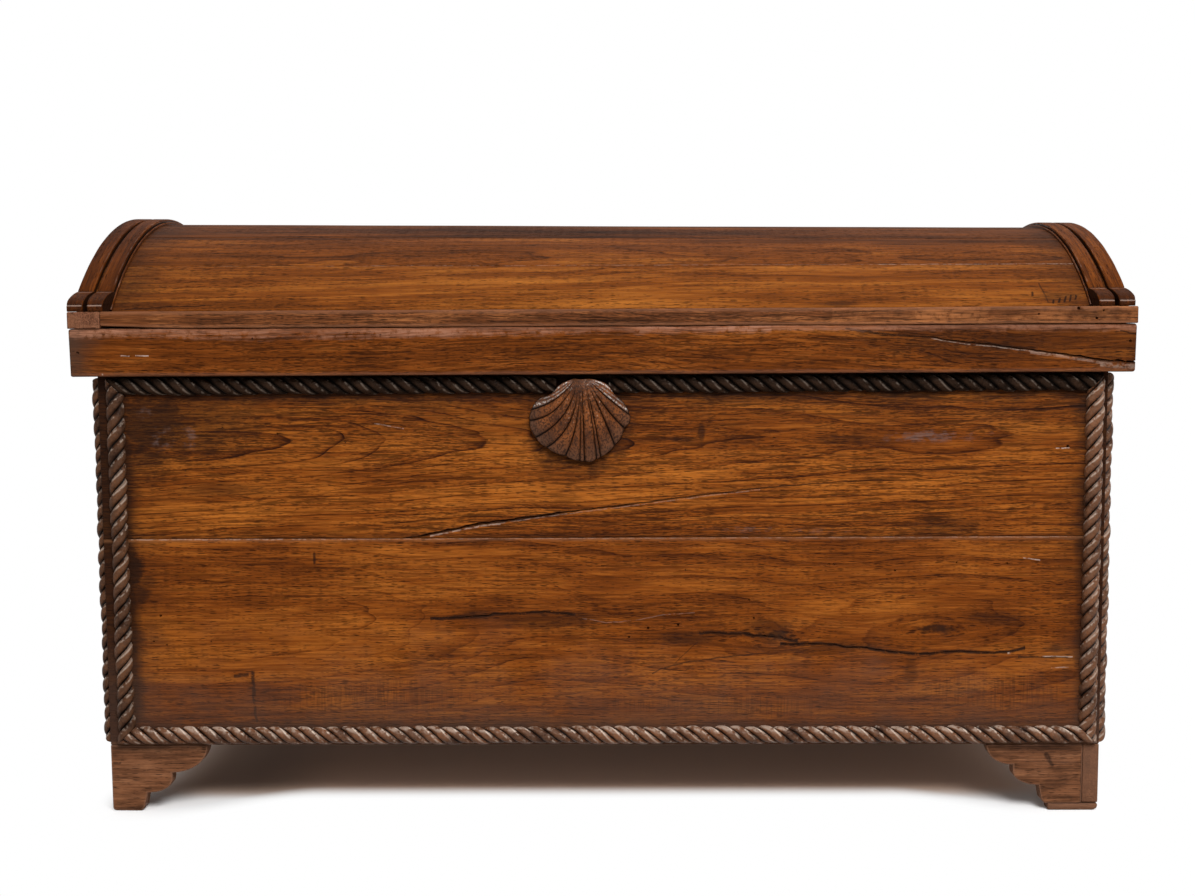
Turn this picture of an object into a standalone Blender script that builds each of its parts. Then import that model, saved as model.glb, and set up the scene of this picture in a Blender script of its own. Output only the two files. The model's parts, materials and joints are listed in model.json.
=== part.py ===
# Dome-top dowry trunk: a boarded case on bracket feet, with rope mouldings and a scallop shell,
# and a hinged lid with rails, a flat strip frame and a staved dome under double end bands.
# Metres, +Z up, front towards -Y, origin on the floor under the middle of the lid.
import math

import bmesh
import bpy
from mathutils import Matrix, Vector

# Driving dimensions
FIT = 0.0003                    # gap kept between pieces that touch

CASE_WIDTH = 1.200              # case outside, left to right
CASE_DEPTH = 0.540              # case outside, front to back
CASE_HEIGHT = 0.450             # walls, lower edge to rim
WALL = 0.022                    # wall planks
LOWER_PLANK_HEIGHT = 0.2535     # lower plank of every wall
TONGUE_WIDTH = 0.007            # tongue between the planks of a wall
TONGUE_HEIGHT = 0.006
REBATE = 0.010                  # corner rebates in the front and back walls
BOTTOM_THICKNESS = 0.018        # planks of the trunk's bottom
BOTTOM_RAISE = 0.016            # bottom planks above the walls' lower edge
BOTTOM_GROOVE = 0.007           # depth of the grooves that hold the bottom planks

FOOT_HEIGHT = 0.082             # floor to the walls' lower edge
BRACKET = 0.019                 # thickness of the foot brackets
LEFT_FOOT_LENGTH = 0.119        # front left bracket along the front, and all the side brackets
LEFT_ANKLE_LENGTH = 0.043
LEFT_ANKLE_HEIGHT = 0.022
RIGHT_FOOT_LENGTH = 0.136       # front right bracket along the front
RIGHT_ANKLE_LENGTH = 0.068
RIGHT_ANKLE_HEIGHT = 0.031
LOWER_ROUND_RUN = 0.031         # lower round of a bracket, along the wall
LOWER_ROUND_RISE = 0.0165
QUIRK = 0.0085                  # upright step between a bracket's two rounds
TOE_CHAMFER = 0.004
REAR_TOE_LENGTH = 0.045         # plain back brackets, on the floor
REAR_TOE_HEIGHT = 0.020
SOLE = 0.008                    # sole under the front right foot

ROPE_WIDTH = 0.0215             # rope mouldings
ROPE_HEIGHT = 0.0105
ROPE_MARGIN = 0.0015            # ropes inside the walls' upper and lower edges
FRONT_ROPE_INSET_LEFT = 0.0142  # front ropes inside the corners
FRONT_ROPE_INSET_RIGHT = 0.0043
END_ROPE_INSET = 0.003          # ropes of the end walls inside the corners

SHELL_X = -0.024                # shell left of the middle
SHELL_WIDTH = 0.119
SHELL_HEIGHT = 0.098
SHELL_DROP = 0.0035             # top of the shell below the rim
SHELL_NECK = 0.022              # width of the neck at the top
SHELL_CROWN = 0.023             # shell stands out by this at its neck
SHELL_EDGE = 0.008              # and by this at its rim
SHELL_RIB = 0.0035              # depth of the hollows between ribs
SHELL_RIBS = 10
SHELL_ROPE_GAP = 0.002          # rope ends clear of the shell

LID_OVERHANG = 0.025            # lid beyond the case on every side
RAIL_HEIGHT = 0.0562
RAIL_WIDTH = 0.040
RAIL_SETBACK = 0.0007           # rails behind the strips' faces
RAIL_LEAN = 0.0027              # rails' faces lean in by this at the bottom
STRIP_HEIGHT = 0.0198
LONG_STRIP_WIDTH = 0.058        # front and back strips, wide enough to carry the dome
END_STRIP_WIDTH = 0.0385
END_SETBACK = 0.002             # ends of the dome behind the strips' ends
END_BOARD = 0.020               # arched boards that close the dome
STAVE_COUNT = 7
STAVE = 0.016                   # thickness of the staves
DOME_RADIUS = 0.378             # outside of the staves
DOME_RISE = 0.111               # crown of the staves above the strips
BAND = 0.007                    # bands above the staves
OUTER_BAND_WIDTH = 0.0190
BAND_GROOVE = 0.0050            # groove between a pair of bands
INNER_BAND_WIDTH = 0.0205
BEAD_WIDTH = 0.0045             # low bead along the inner band
BEAD_HEIGHT = 0.0030
BAND_FOOT_HEIGHT = 0.022        # thickened feet of the bands
BAND_FOOT_LIP = 0.006
BAND_FOOT_PROUD = 0.008

HINGE_X = 0.380                 # hinges from the middle
HINGE_LENGTH = 0.072
HINGE_LEAF = 0.0025
CASE_LEAF_HEIGHT = 0.075
LEAF_CLIP = 0.010               # clipped corners of the case leaf
LEAF_INSET = 0.002              # lid leaf inside the rail's edge
KNUCKLE_RADIUS = 0.0045
PIN_RADIUS = 0.0022
PIN_HEAD = 0.0012               # pin beyond the knuckles

# Facets of the round shapes
ROPE_FACETS = 8
ROUND_FACETS = 6
STAVE_FACETS = 5
BAND_FACETS = 20
KNUCKLE_FACETS = 20
SHELL_RIB_STEPS = 4
SHELL_ROWS = 6
SHARP_ANGLE = math.radians(35)

# Places that follow from the dimensions
HALF_WIDTH = CASE_WIDTH / 2
HALF_DEPTH = CASE_DEPTH / 2
RIM = FOOT_HEIGHT + CASE_HEIGHT
LID_HALF_WIDTH = HALF_WIDTH + LID_OVERHANG
LID_HALF_DEPTH = HALF_DEPTH + LID_OVERHANG
LID_BOTTOM = RIM + FIT
RAIL_TOP = LID_BOTTOM + RAIL_HEIGHT
STRIP_BOTTOM = RAIL_TOP + FIT
STRIP_TOP = STRIP_BOTTOM + STRIP_HEIGHT
DOME_BASE = STRIP_TOP + FIT
DOME_CENTRE = STRIP_TOP + DOME_RISE - DOME_RADIUS
DOME_HALF_LENGTH = LID_HALF_WIDTH - END_SETBACK
HINGE_Y = HALF_DEPTH + 2 * FIT + KNUCKLE_RADIUS
HINGE_Z = LID_BOTTOM - 2 * FIT - KNUCKLE_RADIUS
CUT_MARGIN = WALL               # cutters reach this far past what they cut

# Colour, roughness and metallic value of each finish
FINISHES = {
    "panel": ((0.33, 0.13, 0.040), 0.45, 0.0),
    "dome": ((0.36, 0.15, 0.050), 0.40, 0.0),
    "rail": ((0.19, 0.075, 0.036), 0.45, 0.0),
    "rope": ((0.11, 0.045, 0.022), 0.50, 0.0),
    "foot": ((0.17, 0.075, 0.035), 0.50, 0.0),
    "shell": ((0.20, 0.085, 0.040), 0.45, 0.0),
    "inside": ((0.30, 0.17, 0.080), 0.70, 0.0),
    "iron": ((0.06, 0.055, 0.050), 0.55, 0.9),
}


def clear_scene():
    for thing in list(bpy.data.objects):
        bpy.data.objects.remove(thing, do_unlink=True)


def make_material(name, finish):
    colour, roughness, metallic = FINISHES[finish]
    material = bpy.data.materials.new(name)
    material.use_nodes = True
    shader = material.node_tree.nodes["Principled BSDF"]
    shader.inputs["Base Color"].default_value = (*colour, 1.0)
    shader.inputs["Roughness"].default_value = roughness
    shader.inputs["Metallic"].default_value = metallic
    material.diffuse_color = (*colour, 1.0)
    return material


def add_object(name, bm, pivot=None):
    # The object's origin is the middle of its shape, and its place is set from the pivot it turns on
    bmesh.ops.recalc_face_normals(bm, faces=bm.faces)
    mesh = bpy.data.meshes.new(name)
    bm.to_mesh(mesh)
    bm.free()
    corners = [vertex.co for vertex in mesh.vertices]
    low = Vector([min(co[axis] for co in corners) for axis in range(3)])
    high = Vector([max(co[axis] for co in corners) for axis in range(3)])
    middle = (low + high) / 2
    mesh.transform(Matrix.Translation(-middle))
    thing = bpy.data.objects.new(name, mesh)
    bpy.context.scene.collection.objects.link(thing)
    thing.location = middle
    if pivot is not None:
        thing.parent = pivot
        thing.location = middle - pivot.location
    return thing


def add_piece(name, bm, finish, pivot=None, smooth=False):
    piece = add_object(name, bm, pivot)
    piece.data.materials.append(make_material(name, finish))
    if smooth:
        piece.data.shade_smooth()
        piece.data.set_sharp_from_angle(angle=SHARP_ANGLE)
    return piece


def boolean(piece, bm, operation, pivot=None):
    # A helper shape stays in the file as a wire guide and is joined to or cut from the piece
    helper = add_object(f"{piece.name}_{operation.lower()}_guide", bm, pivot)
    helper.hide_render = True
    helper.display_type = "WIRE"
    modifier = piece.modifiers.new(operation.title(), "BOOLEAN")
    modifier.operation = operation
    modifier.solver = "EXACT"
    modifier.object = helper


def prism(points, along):
    bm = bmesh.new()
    face = bm.faces.new([bm.verts.new(point) for point in points])
    grown = bmesh.ops.extrude_face_region(bm, geom=[face])
    moved = [item for item in grown["geom"] if isinstance(item, bmesh.types.BMVert)]
    bmesh.ops.translate(bm, verts=moved, vec=along)
    return bm


def block(low, high):
    x0, y0, z0 = low
    x1, y1, z1 = high
    return prism([(x0, y0, z0), (x1, y0, z0), (x1, y1, z0), (x0, y1, z0)], (0, 0, z1 - z0))


def loft(sections):
    bm = bmesh.new()
    rings = [[bm.verts.new(point) for point in section] for section in sections]
    for ring, following in zip(rings, rings[1:]):
        for i in range(len(ring)):
            j = (i + 1) % len(ring)
            bm.faces.new((ring[i], ring[j], following[j], following[i]))
    bm.faces.new(rings[0])
    bm.faces.new(rings[-1])
    return bm


def rod(start_x, end_x, radius):
    # Round bar along the hinge axis
    turns = [2 * math.pi * (i + 0.5) / KNUCKLE_FACETS for i in range(KNUCKLE_FACETS)]
    ring = [
        (start_x, HINGE_Y + radius * math.cos(turn), HINGE_Z + radius * math.sin(turn))
        for turn in turns
    ]
    return prism(ring, (end_x - start_x, 0, 0))


def lower_plank():
    # Section of a lower plank: depth behind the wall's outer face, and height
    seam = FOOT_HEIGHT + LOWER_PLANK_HEIGHT
    groove_bottom = FOOT_HEIGHT + BOTTOM_RAISE
    groove_top = groove_bottom + BOTTOM_THICKNESS + 2 * FIT
    tongue_near = (WALL - TONGUE_WIDTH) / 2
    tongue_far = (WALL + TONGUE_WIDTH) / 2
    return [
        (0, FOOT_HEIGHT),
        (WALL, FOOT_HEIGHT),
        (WALL, groove_bottom),
        (WALL - BOTTOM_GROOVE, groove_bottom),
        (WALL - BOTTOM_GROOVE, groove_top),
        (WALL, groove_top),
        (WALL, seam),
        (tongue_far, seam),
        (tongue_far, seam + TONGUE_HEIGHT),
        (tongue_near, seam + TONGUE_HEIGHT),
        (tongue_near, seam),
        (0, seam),
    ]


def upper_plank():
    seam = FOOT_HEIGHT + LOWER_PLANK_HEIGHT + FIT
    groove_near = (WALL - TONGUE_WIDTH) / 2 - FIT
    groove_far = (WALL + TONGUE_WIDTH) / 2 + FIT
    return [
        (0, seam),
        (groove_near, seam),
        (groove_near, seam + TONGUE_HEIGHT),
        (groove_far, seam + TONGUE_HEIGHT),
        (groove_far, seam),
        (WALL, seam),
        (WALL, RIM),
        (0, RIM),
    ]


def add_long_wall(name, side):
    # Front wall at side -1 and back wall at side 1, with a rebate for the end walls at each corner
    for level, section in (("lower", lower_plank()), ("upper", upper_plank())):
        points = [(-HALF_WIDTH, side * (HALF_DEPTH - depth), height) for depth, height in section]
        plank = add_piece(f"{name}_board_{level}", prism(points, (CASE_WIDTH, 0, 0)), "panel")
        for end in (-1, 1):
            inner_x = end * (HALF_WIDTH - WALL - FIT)
            outer_x = end * (HALF_WIDTH + CUT_MARGIN)
            shoulder = side * (HALF_DEPTH - WALL + REBATE)
            inside = side * (HALF_DEPTH - WALL - CUT_MARGIN)
            cutter = block(
                (min(inner_x, outer_x), min(shoulder, inside), FOOT_HEIGHT - CUT_MARGIN),
                (max(inner_x, outer_x), max(shoulder, inside), RIM + CUT_MARGIN),
            )
            boolean(plank, cutter, "DIFFERENCE")


def add_end_wall(name, side):
    # End wall at side -1 or 1, held in the rebates of the front and back walls
    half_length = HALF_DEPTH - WALL + REBATE - FIT
    for level, section in (("lower", lower_plank()), ("upper", upper_plank())):
        points = [(side * (HALF_WIDTH - depth), -half_length, height) for depth, height in section]
        add_piece(f"{name}_board_{level}", prism(points, (0, 2 * half_length, 0)), "panel")


def add_bottom():
    half_length = HALF_WIDTH - WALL + BOTTOM_GROOVE - FIT
    half_span = HALF_DEPTH - WALL + BOTTOM_GROOVE - FIT
    low = FOOT_HEIGHT + BOTTOM_RAISE + FIT
    high = low + BOTTOM_THICKNESS
    for name, near, far in (("front", -half_span, -FIT / 2), ("rear", FIT / 2, half_span)):
        shape = block((-half_length, near, low), (half_length, far, high))
        add_piece(f"bottom_board_{name}", shape, "inside")


def quarter_round(start, run, rise):
    # Swelling round that leaves its start level and ends upright
    points = []
    for i in range(ROUND_FACETS + 1):
        turn = math.pi / 2 * i / ROUND_FACETS
        points.append((start[0] + run * math.sin(turn), start[1] + rise * (1 - math.cos(turn))))
    return points


def bracket_section(begin, length, ankle, ankle_height, floor):
    # Front of a shaped bracket: distance from the corner of the case, and height
    step = ankle + LOWER_ROUND_RUN
    step_height = ankle_height + LOWER_ROUND_RISE + QUIRK
    top = FOOT_HEIGHT - FIT
    lower_round = quarter_round((ankle, ankle_height), LOWER_ROUND_RUN, LOWER_ROUND_RISE)
    upper_round = quarter_round((step, step_height), length - step, top - step_height)
    toe = [
        (begin, floor),
        (ankle - 2 * TOE_CHAMFER, floor),
        (ankle - TOE_CHAMFER, floor + TOE_CHAMFER),
    ]
    return toe + lower_round + upper_round + [(begin, top)]


def plain_bracket_section(begin):
    top = FOOT_HEIGHT - FIT
    return [
        (begin, 0),
        (REAR_TOE_LENGTH, 0),
        (REAR_TOE_LENGTH, REAR_TOE_HEIGHT),
        (LEFT_FOOT_LENGTH, top),
        (begin, top),
    ]


def add_front_bracket(name, section, end, side):
    # Bracket under the front (side -1) or back (side 1) wall, at the left (end -1) or right corner
    points = [(end * (HALF_WIDTH - run), side * HALF_DEPTH, height) for run, height in section]
    add_piece(name, prism(points, (0, -side * BRACKET, 0)), "foot")


def add_side_bracket(name, section, end, side):
    points = [(end * HALF_WIDTH, side * (HALF_DEPTH - run), height) for run, height in section]
    add_piece(name, prism(points, (-end * BRACKET, 0, 0)), "foot")


def add_feet():
    behind = BRACKET + FIT
    side_shape = (LEFT_FOOT_LENGTH, LEFT_ANKLE_LENGTH, LEFT_ANKLE_HEIGHT)
    right_shape = (RIGHT_FOOT_LENGTH, RIGHT_ANKLE_LENGTH, RIGHT_ANKLE_HEIGHT)
    sole_top = SOLE + FIT
    # At the left the front bracket covers the side bracket's end, at the right it stops behind it
    add_front_bracket("front_left_foot_front", bracket_section(0, *side_shape, 0), -1, -1)
    add_side_bracket("front_left_foot_side", bracket_section(behind, *side_shape, 0), -1, -1)
    add_front_bracket("front_right_foot_front", bracket_section(behind, *right_shape, sole_top), 1, -1)
    add_side_bracket("front_right_foot_side", bracket_section(0, *side_shape, sole_top), 1, -1)
    for name, end in (("left", -1), ("right", 1)):
        add_side_bracket(f"rear_{name}_foot_side", bracket_section(0, *side_shape, 0), end, 1)
        add_front_bracket(f"rear_{name}_foot_back", plain_bracket_section(behind), end, 1)
    # The sole follows both brackets of the front right foot
    front_reach = RIGHT_ANKLE_LENGTH - 2 * TOE_CHAMFER
    side_reach = LEFT_ANKLE_LENGTH - 2 * TOE_CHAMFER
    corner = (HALF_WIDTH, -HALF_DEPTH)
    outline = [
        (0, 0), (0, side_reach), (BRACKET, side_reach),
        (BRACKET, BRACKET), (front_reach, BRACKET), (front_reach, 0),
    ]
    points = [(corner[0] - across, corner[1] + back, 0) for across, back in outline]
    add_piece("front_right_foot_sole", prism(points, (0, 0, SOLE)), "foot")


def add_rope(name, start, along, across, out, length, mitres):
    # Half-round length that starts at its outer edge; a mitre of 1 cuts an end at 45 degrees
    start, along, across, out = Vector(start), Vector(along), Vector(across), Vector(out)
    sections = [[], []]
    for i in range(ROPE_FACETS + 1):
        turn = math.pi * i / ROPE_FACETS
        width = ROPE_WIDTH / 2 * (1 - math.cos(turn))
        point = start + across * width + out * (FIT + ROPE_HEIGHT * math.sin(turn))
        sections[0].append(point + along * (mitres[0] * width + FIT))
        sections[1].append(point + along * (length - mitres[1] * width - FIT))
    add_piece(name, loft(sections), "rope", smooth=True)


def shell_half_width(drop):
    # Half the shell's width at a distance below its top
    shoulder = 0.48 * SHELL_HEIGHT
    wide = SHELL_WIDTH / 2
    if drop < shoulder:
        share = (drop / shoulder) ** 0.9
        return SHELL_NECK / 2 + (wide - SHELL_NECK / 2) * share * share * (3 - 2 * share)
    fall = (drop - shoulder) / (SHELL_HEIGHT - shoulder)
    return wide * math.sqrt(max(0.0, 1 - fall * fall))


def shell_reach(turn):
    # Distance from the middle of the neck to the shell's edge, at an angle from straight down
    near, far = 0.0, SHELL_WIDTH + SHELL_HEIGHT
    for _ in range(40):
        reach = (near + far) / 2
        drop = reach * math.cos(turn)
        inside = drop <= SHELL_HEIGHT and reach * abs(math.sin(turn)) <= shell_half_width(drop)
        near, far = (reach, far) if inside else (near, reach)
    return near


def add_shell():
    top = RIM - SHELL_DROP
    back = -HALF_DEPTH - FIT
    steps = SHELL_RIBS * SHELL_RIB_STEPS
    bm = bmesh.new()
    neck = bm.verts.new((SHELL_X, back - SHELL_CROWN, top))
    rows = [[neck] * (steps + 1)]
    for i in range(1, SHELL_ROWS + 1):
        share = i / SHELL_ROWS
        row = []
        for j in range(steps + 1):
            turn = math.pi * (j / steps - 0.5)
            reach = share * shell_reach(turn)
            hollow = SHELL_RIB * share * abs(math.cos(math.pi * SHELL_RIBS * j / steps))
            proud = SHELL_CROWN + (SHELL_EDGE - SHELL_CROWN) * share ** 2 - hollow
            row.append(bm.verts.new((
                SHELL_X + reach * math.sin(turn), back - proud, top - reach * math.cos(turn),
            )))
        rows.append(row)
    for row, following in zip(rows, rows[1:]):
        for j in range(steps):
            corners = [row[j], row[j + 1], following[j + 1], following[j]]
            bm.faces.new(list(dict.fromkeys(corners)))
    # Edge wall and flat back, round the whole outline from neck to neck
    edge = [row[0] for row in rows] + rows[-1][1:] + [row[-1] for row in rows[-2:0:-1]]
    foot = [bm.verts.new((vertex.co.x, back, vertex.co.z)) for vertex in edge]
    for i in range(len(edge)):
        j = (i + 1) % len(edge)
        bm.faces.new((edge[i], edge[j], foot[j], foot[i]))
    bm.faces.new(foot)
    add_piece("scallop_shell", bm, "shell", smooth=True)


def add_ropes():
    low = FOOT_HEIGHT + ROPE_MARGIN
    high = RIM - ROPE_MARGIN
    tall = high - low
    right, left, up, down = (1, 0, 0), (-1, 0, 0), (0, 0, 1), (0, 0, -1)
    front, back = (0, -1, 0), (0, 1, 0)
    x0 = -HALF_WIDTH + FRONT_ROPE_INSET_LEFT
    x1 = HALF_WIDTH - FRONT_ROPE_INSET_RIGHT
    y = -HALF_DEPTH
    # The top rope stops either side of the shell's shoulders
    drops = [ROPE_MARGIN - SHELL_DROP + ROPE_WIDTH * i / ROPE_FACETS for i in range(ROPE_FACETS + 1)]
    widest = max(shell_half_width(max(0.0, drop)) for drop in drops) + SHELL_ROPE_GAP
    left_run = SHELL_X - widest - x0
    right_run = x1 - SHELL_X - widest
    add_rope("front_rope_top_left", (x0, y, high), right, down, front, left_run, (1, 0))
    add_rope("front_rope_top_right", (x1, y, high), left, down, front, right_run, (1, 0))
    add_rope("front_rope_bottom", (x0, y, low), right, up, front, x1 - x0, (1, 1))
    add_rope("front_rope_left", (x0, y, low), up, right, front, tall, (1, 1))
    add_rope("front_rope_right", (x1, y, low), up, left, front, tall, (1, 1))
    y0 = -HALF_DEPTH + END_ROPE_INSET
    y1 = HALF_DEPTH - END_ROPE_INSET
    for name, end in (("left", -1), ("right", 1)):
        x = end * HALF_WIDTH
        out = (end, 0, 0)
        add_rope(f"{name}_rope_top", (x, y0, high), back, down, out, y1 - y0, (1, 1))
        add_rope(f"{name}_rope_bottom", (x, y0, low), back, up, out, y1 - y0, (1, 1))
        add_rope(f"{name}_rope_front", (x, y0, low), up, back, out, tall, (1, 1))
        add_rope(f"{name}_rope_rear", (x, y1, low), up, front, out, tall, (1, 1))


def tapered_bar(bottom, top):
    # Bar between two upright rectangles, each given as x0, x1, y0, y1
    sections = []
    for (x0, x1, y0, y1), height in ((bottom, LID_BOTTOM), (top, RAIL_TOP)):
        sections.append([(x0, y0, height), (x1, y0, height), (x1, y1, height), (x0, y1, height)])
    return loft(sections)


def add_rails(pivot):
    # Front and back rails run through, the side rails stop between them
    x_top = LID_HALF_WIDTH - RAIL_SETBACK
    y_top = LID_HALF_DEPTH - RAIL_SETBACK
    x_low = x_top - RAIL_LEAN
    y_low = y_top - RAIL_LEAN
    y_in = LID_HALF_DEPTH - RAIL_WIDTH
    x_in = LID_HALF_WIDTH - RAIL_WIDTH
    span = y_in - FIT
    front = tapered_bar((-x_low, x_low, -y_low, -y_in), (-x_top, x_top, -y_top, -y_in))
    back = tapered_bar((-x_low, x_low, y_in, y_low), (-x_top, x_top, y_in, y_top))
    left = tapered_bar((-x_low, -x_in, -span, span), (-x_top, -x_in, -span, span))
    right = tapered_bar((x_in, x_low, -span, span), (x_in, x_top, -span, span))
    for name, shape in (("front", front), ("back", back), ("left", left), ("right", right)):
        add_piece(f"lid_{name}_rail", shape, "rail", pivot)


def add_strips(pivot):
    # Each strip runs through at one corner and stops against its neighbour at the other
    x, y = LID_HALF_WIDTH, LID_HALF_DEPTH
    x_in = x - END_STRIP_WIDTH
    y_in = y - LONG_STRIP_WIDTH
    places = {
        "front": ((-x_in + FIT, -y), (x, -y_in)),
        "right": ((x_in, -y_in + FIT), (x, y)),
        "back": ((-x, y_in), (x_in - FIT, y)),
        "left": ((-x, -y), (-x_in, y_in - FIT)),
    }
    for name, (low, high) in places.items():
        shape = block((*low, STRIP_BOTTOM), (*high, STRIP_TOP))
        add_piece(f"lid_{name}_strip", shape, "rail", pivot)


def on_dome(radius, turn):
    # Depth and height on a round of the dome, turned from upright towards the back
    return radius * math.sin(turn), DOME_CENTRE + radius * math.cos(turn)


def turn_at(radius, height):
    return math.acos((height - DOME_CENTRE) / radius)


def add_end_boards(pivot):
    radius = DOME_RADIUS - STAVE - FIT
    limit = turn_at(radius, DOME_BASE)
    turns = [limit * (2 * i / BAND_FACETS - 1) for i in range(BAND_FACETS + 1)]
    for name, end in (("left", -1), ("right", 1)):
        points = [(end * DOME_HALF_LENGTH, *on_dome(radius, turn)) for turn in turns]
        shape = prism(points, (-end * END_BOARD, 0, 0))
        add_piece(f"lid_{name}_end_board", shape, "panel", pivot, smooth=True)


def add_staves(pivot):
    inner = DOME_RADIUS - STAVE
    outer_limit = turn_at(DOME_RADIUS, DOME_BASE)
    inner_limit = turn_at(inner, DOME_BASE)
    width = 2 * outer_limit / STAVE_COUNT
    gap = FIT / 2 / inner
    for number in range(STAVE_COUNT):
        first = -outer_limit + number * width + gap
        last = -outer_limit + (number + 1) * width - gap
        # The first and last staves are cut level where they stand on the strips
        outer_ends = (-outer_limit if number == 0 else first,
                      outer_limit if number == STAVE_COUNT - 1 else last)
        inner_ends = (-inner_limit if number == 0 else first,
                      inner_limit if number == STAVE_COUNT - 1 else last)
        points = []
        for i in range(STAVE_FACETS + 1):
            turn = outer_ends[0] + (outer_ends[1] - outer_ends[0]) * i / STAVE_FACETS
            points.append((-DOME_HALF_LENGTH, *on_dome(DOME_RADIUS, turn)))
        for i in range(STAVE_FACETS + 1):
            turn = inner_ends[1] + (inner_ends[0] - inner_ends[1]) * i / STAVE_FACETS
            points.append((-DOME_HALF_LENGTH, *on_dome(inner, turn)))
        shape = prism(points, (2 * DOME_HALF_LENGTH, 0, 0))
        add_piece(f"lid_stave_{number + 1}", shape, "dome", pivot, smooth=True)


def band_stations():
    # Steps along a band from front to back: underside, bead and top, each as depth and height
    under = DOME_RADIUS + FIT
    bead = DOME_RADIUS + BEAD_HEIGHT
    top = DOME_RADIUS + BAND
    foot = top + BAND_FOOT_PROUD

    def level(height, radius):
        return -math.sqrt(radius ** 2 - (height - DOME_CENTRE) ** 2), height

    lip = DOME_BASE + BAND_FOOT_LIP
    shoulder = DOME_BASE + BAND_FOOT_HEIGHT
    front = level(lip, foot)[0]
    rising = [
        (level(DOME_BASE, under), level(DOME_BASE, bead), (front, DOME_BASE)),
        (level(lip, under), level(lip, bead), (front, lip)),
    ]
    middle = (lip + shoulder) / 2
    for height, radius in ((middle, foot), (shoulder, foot), (shoulder, top)):
        rising.append((level(height, under), level(height, bead), level(height, radius)))
    limit = turn_at(under, shoulder) * (1 - 1 / BAND_FACETS)
    turns = [limit * (2 * i / BAND_FACETS - 1) for i in range(BAND_FACETS + 1)]
    arch = [tuple(on_dome(radius, turn) for radius in (under, bead, top)) for turn in turns]
    falling = [tuple((-depth, height) for depth, height in step) for step in reversed(rising)]
    return rising + arch + falling


def add_bands(pivot):
    stations = band_stations()
    outer_edge = DOME_HALF_LENGTH
    groove_edge = outer_edge - OUTER_BAND_WIDTH
    inner_edge = groove_edge - BAND_GROOVE
    bead_edge = inner_edge - INNER_BAND_WIDTH
    last_edge = bead_edge - BEAD_WIDTH
    for name, end in (("left", -1), ("right", 1)):
        outer, inner = [], []
        for under, bead, top in stations:
            outer.append([
                (end * outer_edge, *under), (end * outer_edge, *top),
                (end * groove_edge, *top), (end * groove_edge, *under),
            ])
            inner.append([
                (end * inner_edge, *under), (end * inner_edge, *top),
                (end * bead_edge, *top), (end * bead_edge, *bead),
                (end * last_edge, *bead), (end * last_edge, *under),
            ])
        add_piece(f"lid_{name}_outer_band", loft(outer), "rail", pivot, smooth=True)
        add_piece(f"lid_{name}_inner_band", loft(inner), "rail", pivot, smooth=True)


def add_hinge(name, middle, pivot):
    # Case leaf on the back wall with the outer knuckles, lid leaf under the rail with the middle one
    x0 = middle - HINGE_LENGTH / 2
    x3 = middle + HINGE_LENGTH / 2
    x1 = x0 + HINGE_LENGTH / 3
    x2 = x3 - HINGE_LENGTH / 3
    clear = KNUCKLE_RADIUS + 2 * FIT
    bore = PIN_RADIUS + FIT
    low = HINGE_Z - CASE_LEAF_HEIGHT
    face = HALF_DEPTH + FIT
    outline = [
        (x0, HINGE_Z), (x1, HINGE_Z), (x1, HINGE_Z - clear), (x2, HINGE_Z - clear),
        (x2, HINGE_Z), (x3, HINGE_Z), (x3, low + LEAF_CLIP), (x3 - LEAF_CLIP, low),
        (x0 + LEAF_CLIP, low), (x0, low + LEAF_CLIP),
    ]
    points = [(x, face, z) for x, z in outline]
    case_leaf = add_piece(f"{name}_hinge_case_leaf", prism(points, (0, HINGE_LEAF, 0)), "iron")
    for start, end in ((x0, x1), (x2, x3)):
        boolean(case_leaf, rod(start, end, KNUCKLE_RADIUS), "UNION")
    boolean(case_leaf, rod(x0 - CUT_MARGIN, x3 + CUT_MARGIN, bore), "DIFFERENCE")

    edge = LID_HALF_DEPTH - RAIL_SETBACK - RAIL_LEAN - LEAF_INSET
    under = LID_BOTTOM - FIT
    outline = [
        (x0, edge), (x0, HINGE_Y + clear), (x1 + FIT, HINGE_Y + clear), (x1 + FIT, HINGE_Y),
        (x2 - FIT, HINGE_Y), (x2 - FIT, HINGE_Y + clear), (x3, HINGE_Y + clear), (x3, edge),
    ]
    points = [(x, y, under) for x, y in outline]
    lid_leaf = add_piece(f"{name}_hinge_lid_leaf", prism(points, (0, 0, -HINGE_LEAF)), "iron", pivot)
    boolean(lid_leaf, rod(x1 + FIT, x2 - FIT, KNUCKLE_RADIUS), "UNION", pivot)
    boolean(lid_leaf, rod(x0 - CUT_MARGIN, x3 + CUT_MARGIN, bore), "DIFFERENCE", pivot)

    pin = rod(x0 - PIN_HEAD, x3 + PIN_HEAD, PIN_RADIUS)
    add_piece(f"{name}_hinge_pin", pin, "iron", smooth=True)


clear_scene()
lid_pivot = bpy.data.objects.new("lid_pivot", None)
lid_pivot.location = (0, HINGE_Y, HINGE_Z)
bpy.context.scene.collection.objects.link(lid_pivot)

add_long_wall("front", -1)
add_long_wall("back", 1)
add_end_wall("left_end", -1)
add_end_wall("right_end", 1)
add_bottom()
add_feet()
add_ropes()
add_shell()
add_hinge("left", -HINGE_X, lid_pivot)
add_hinge("right", HINGE_X, lid_pivot)
add_rails(lid_pivot)
add_strips(lid_pivot)
add_end_boards(lid_pivot)
add_staves(lid_pivot)
add_bands(lid_pivot)
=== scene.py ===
# Dome-top dowry trunk: worn waxed boards, carved ropes and a shell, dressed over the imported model
import json
import math

import bmesh
import bpy
from mathutils import Matrix, Vector, noise


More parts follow.
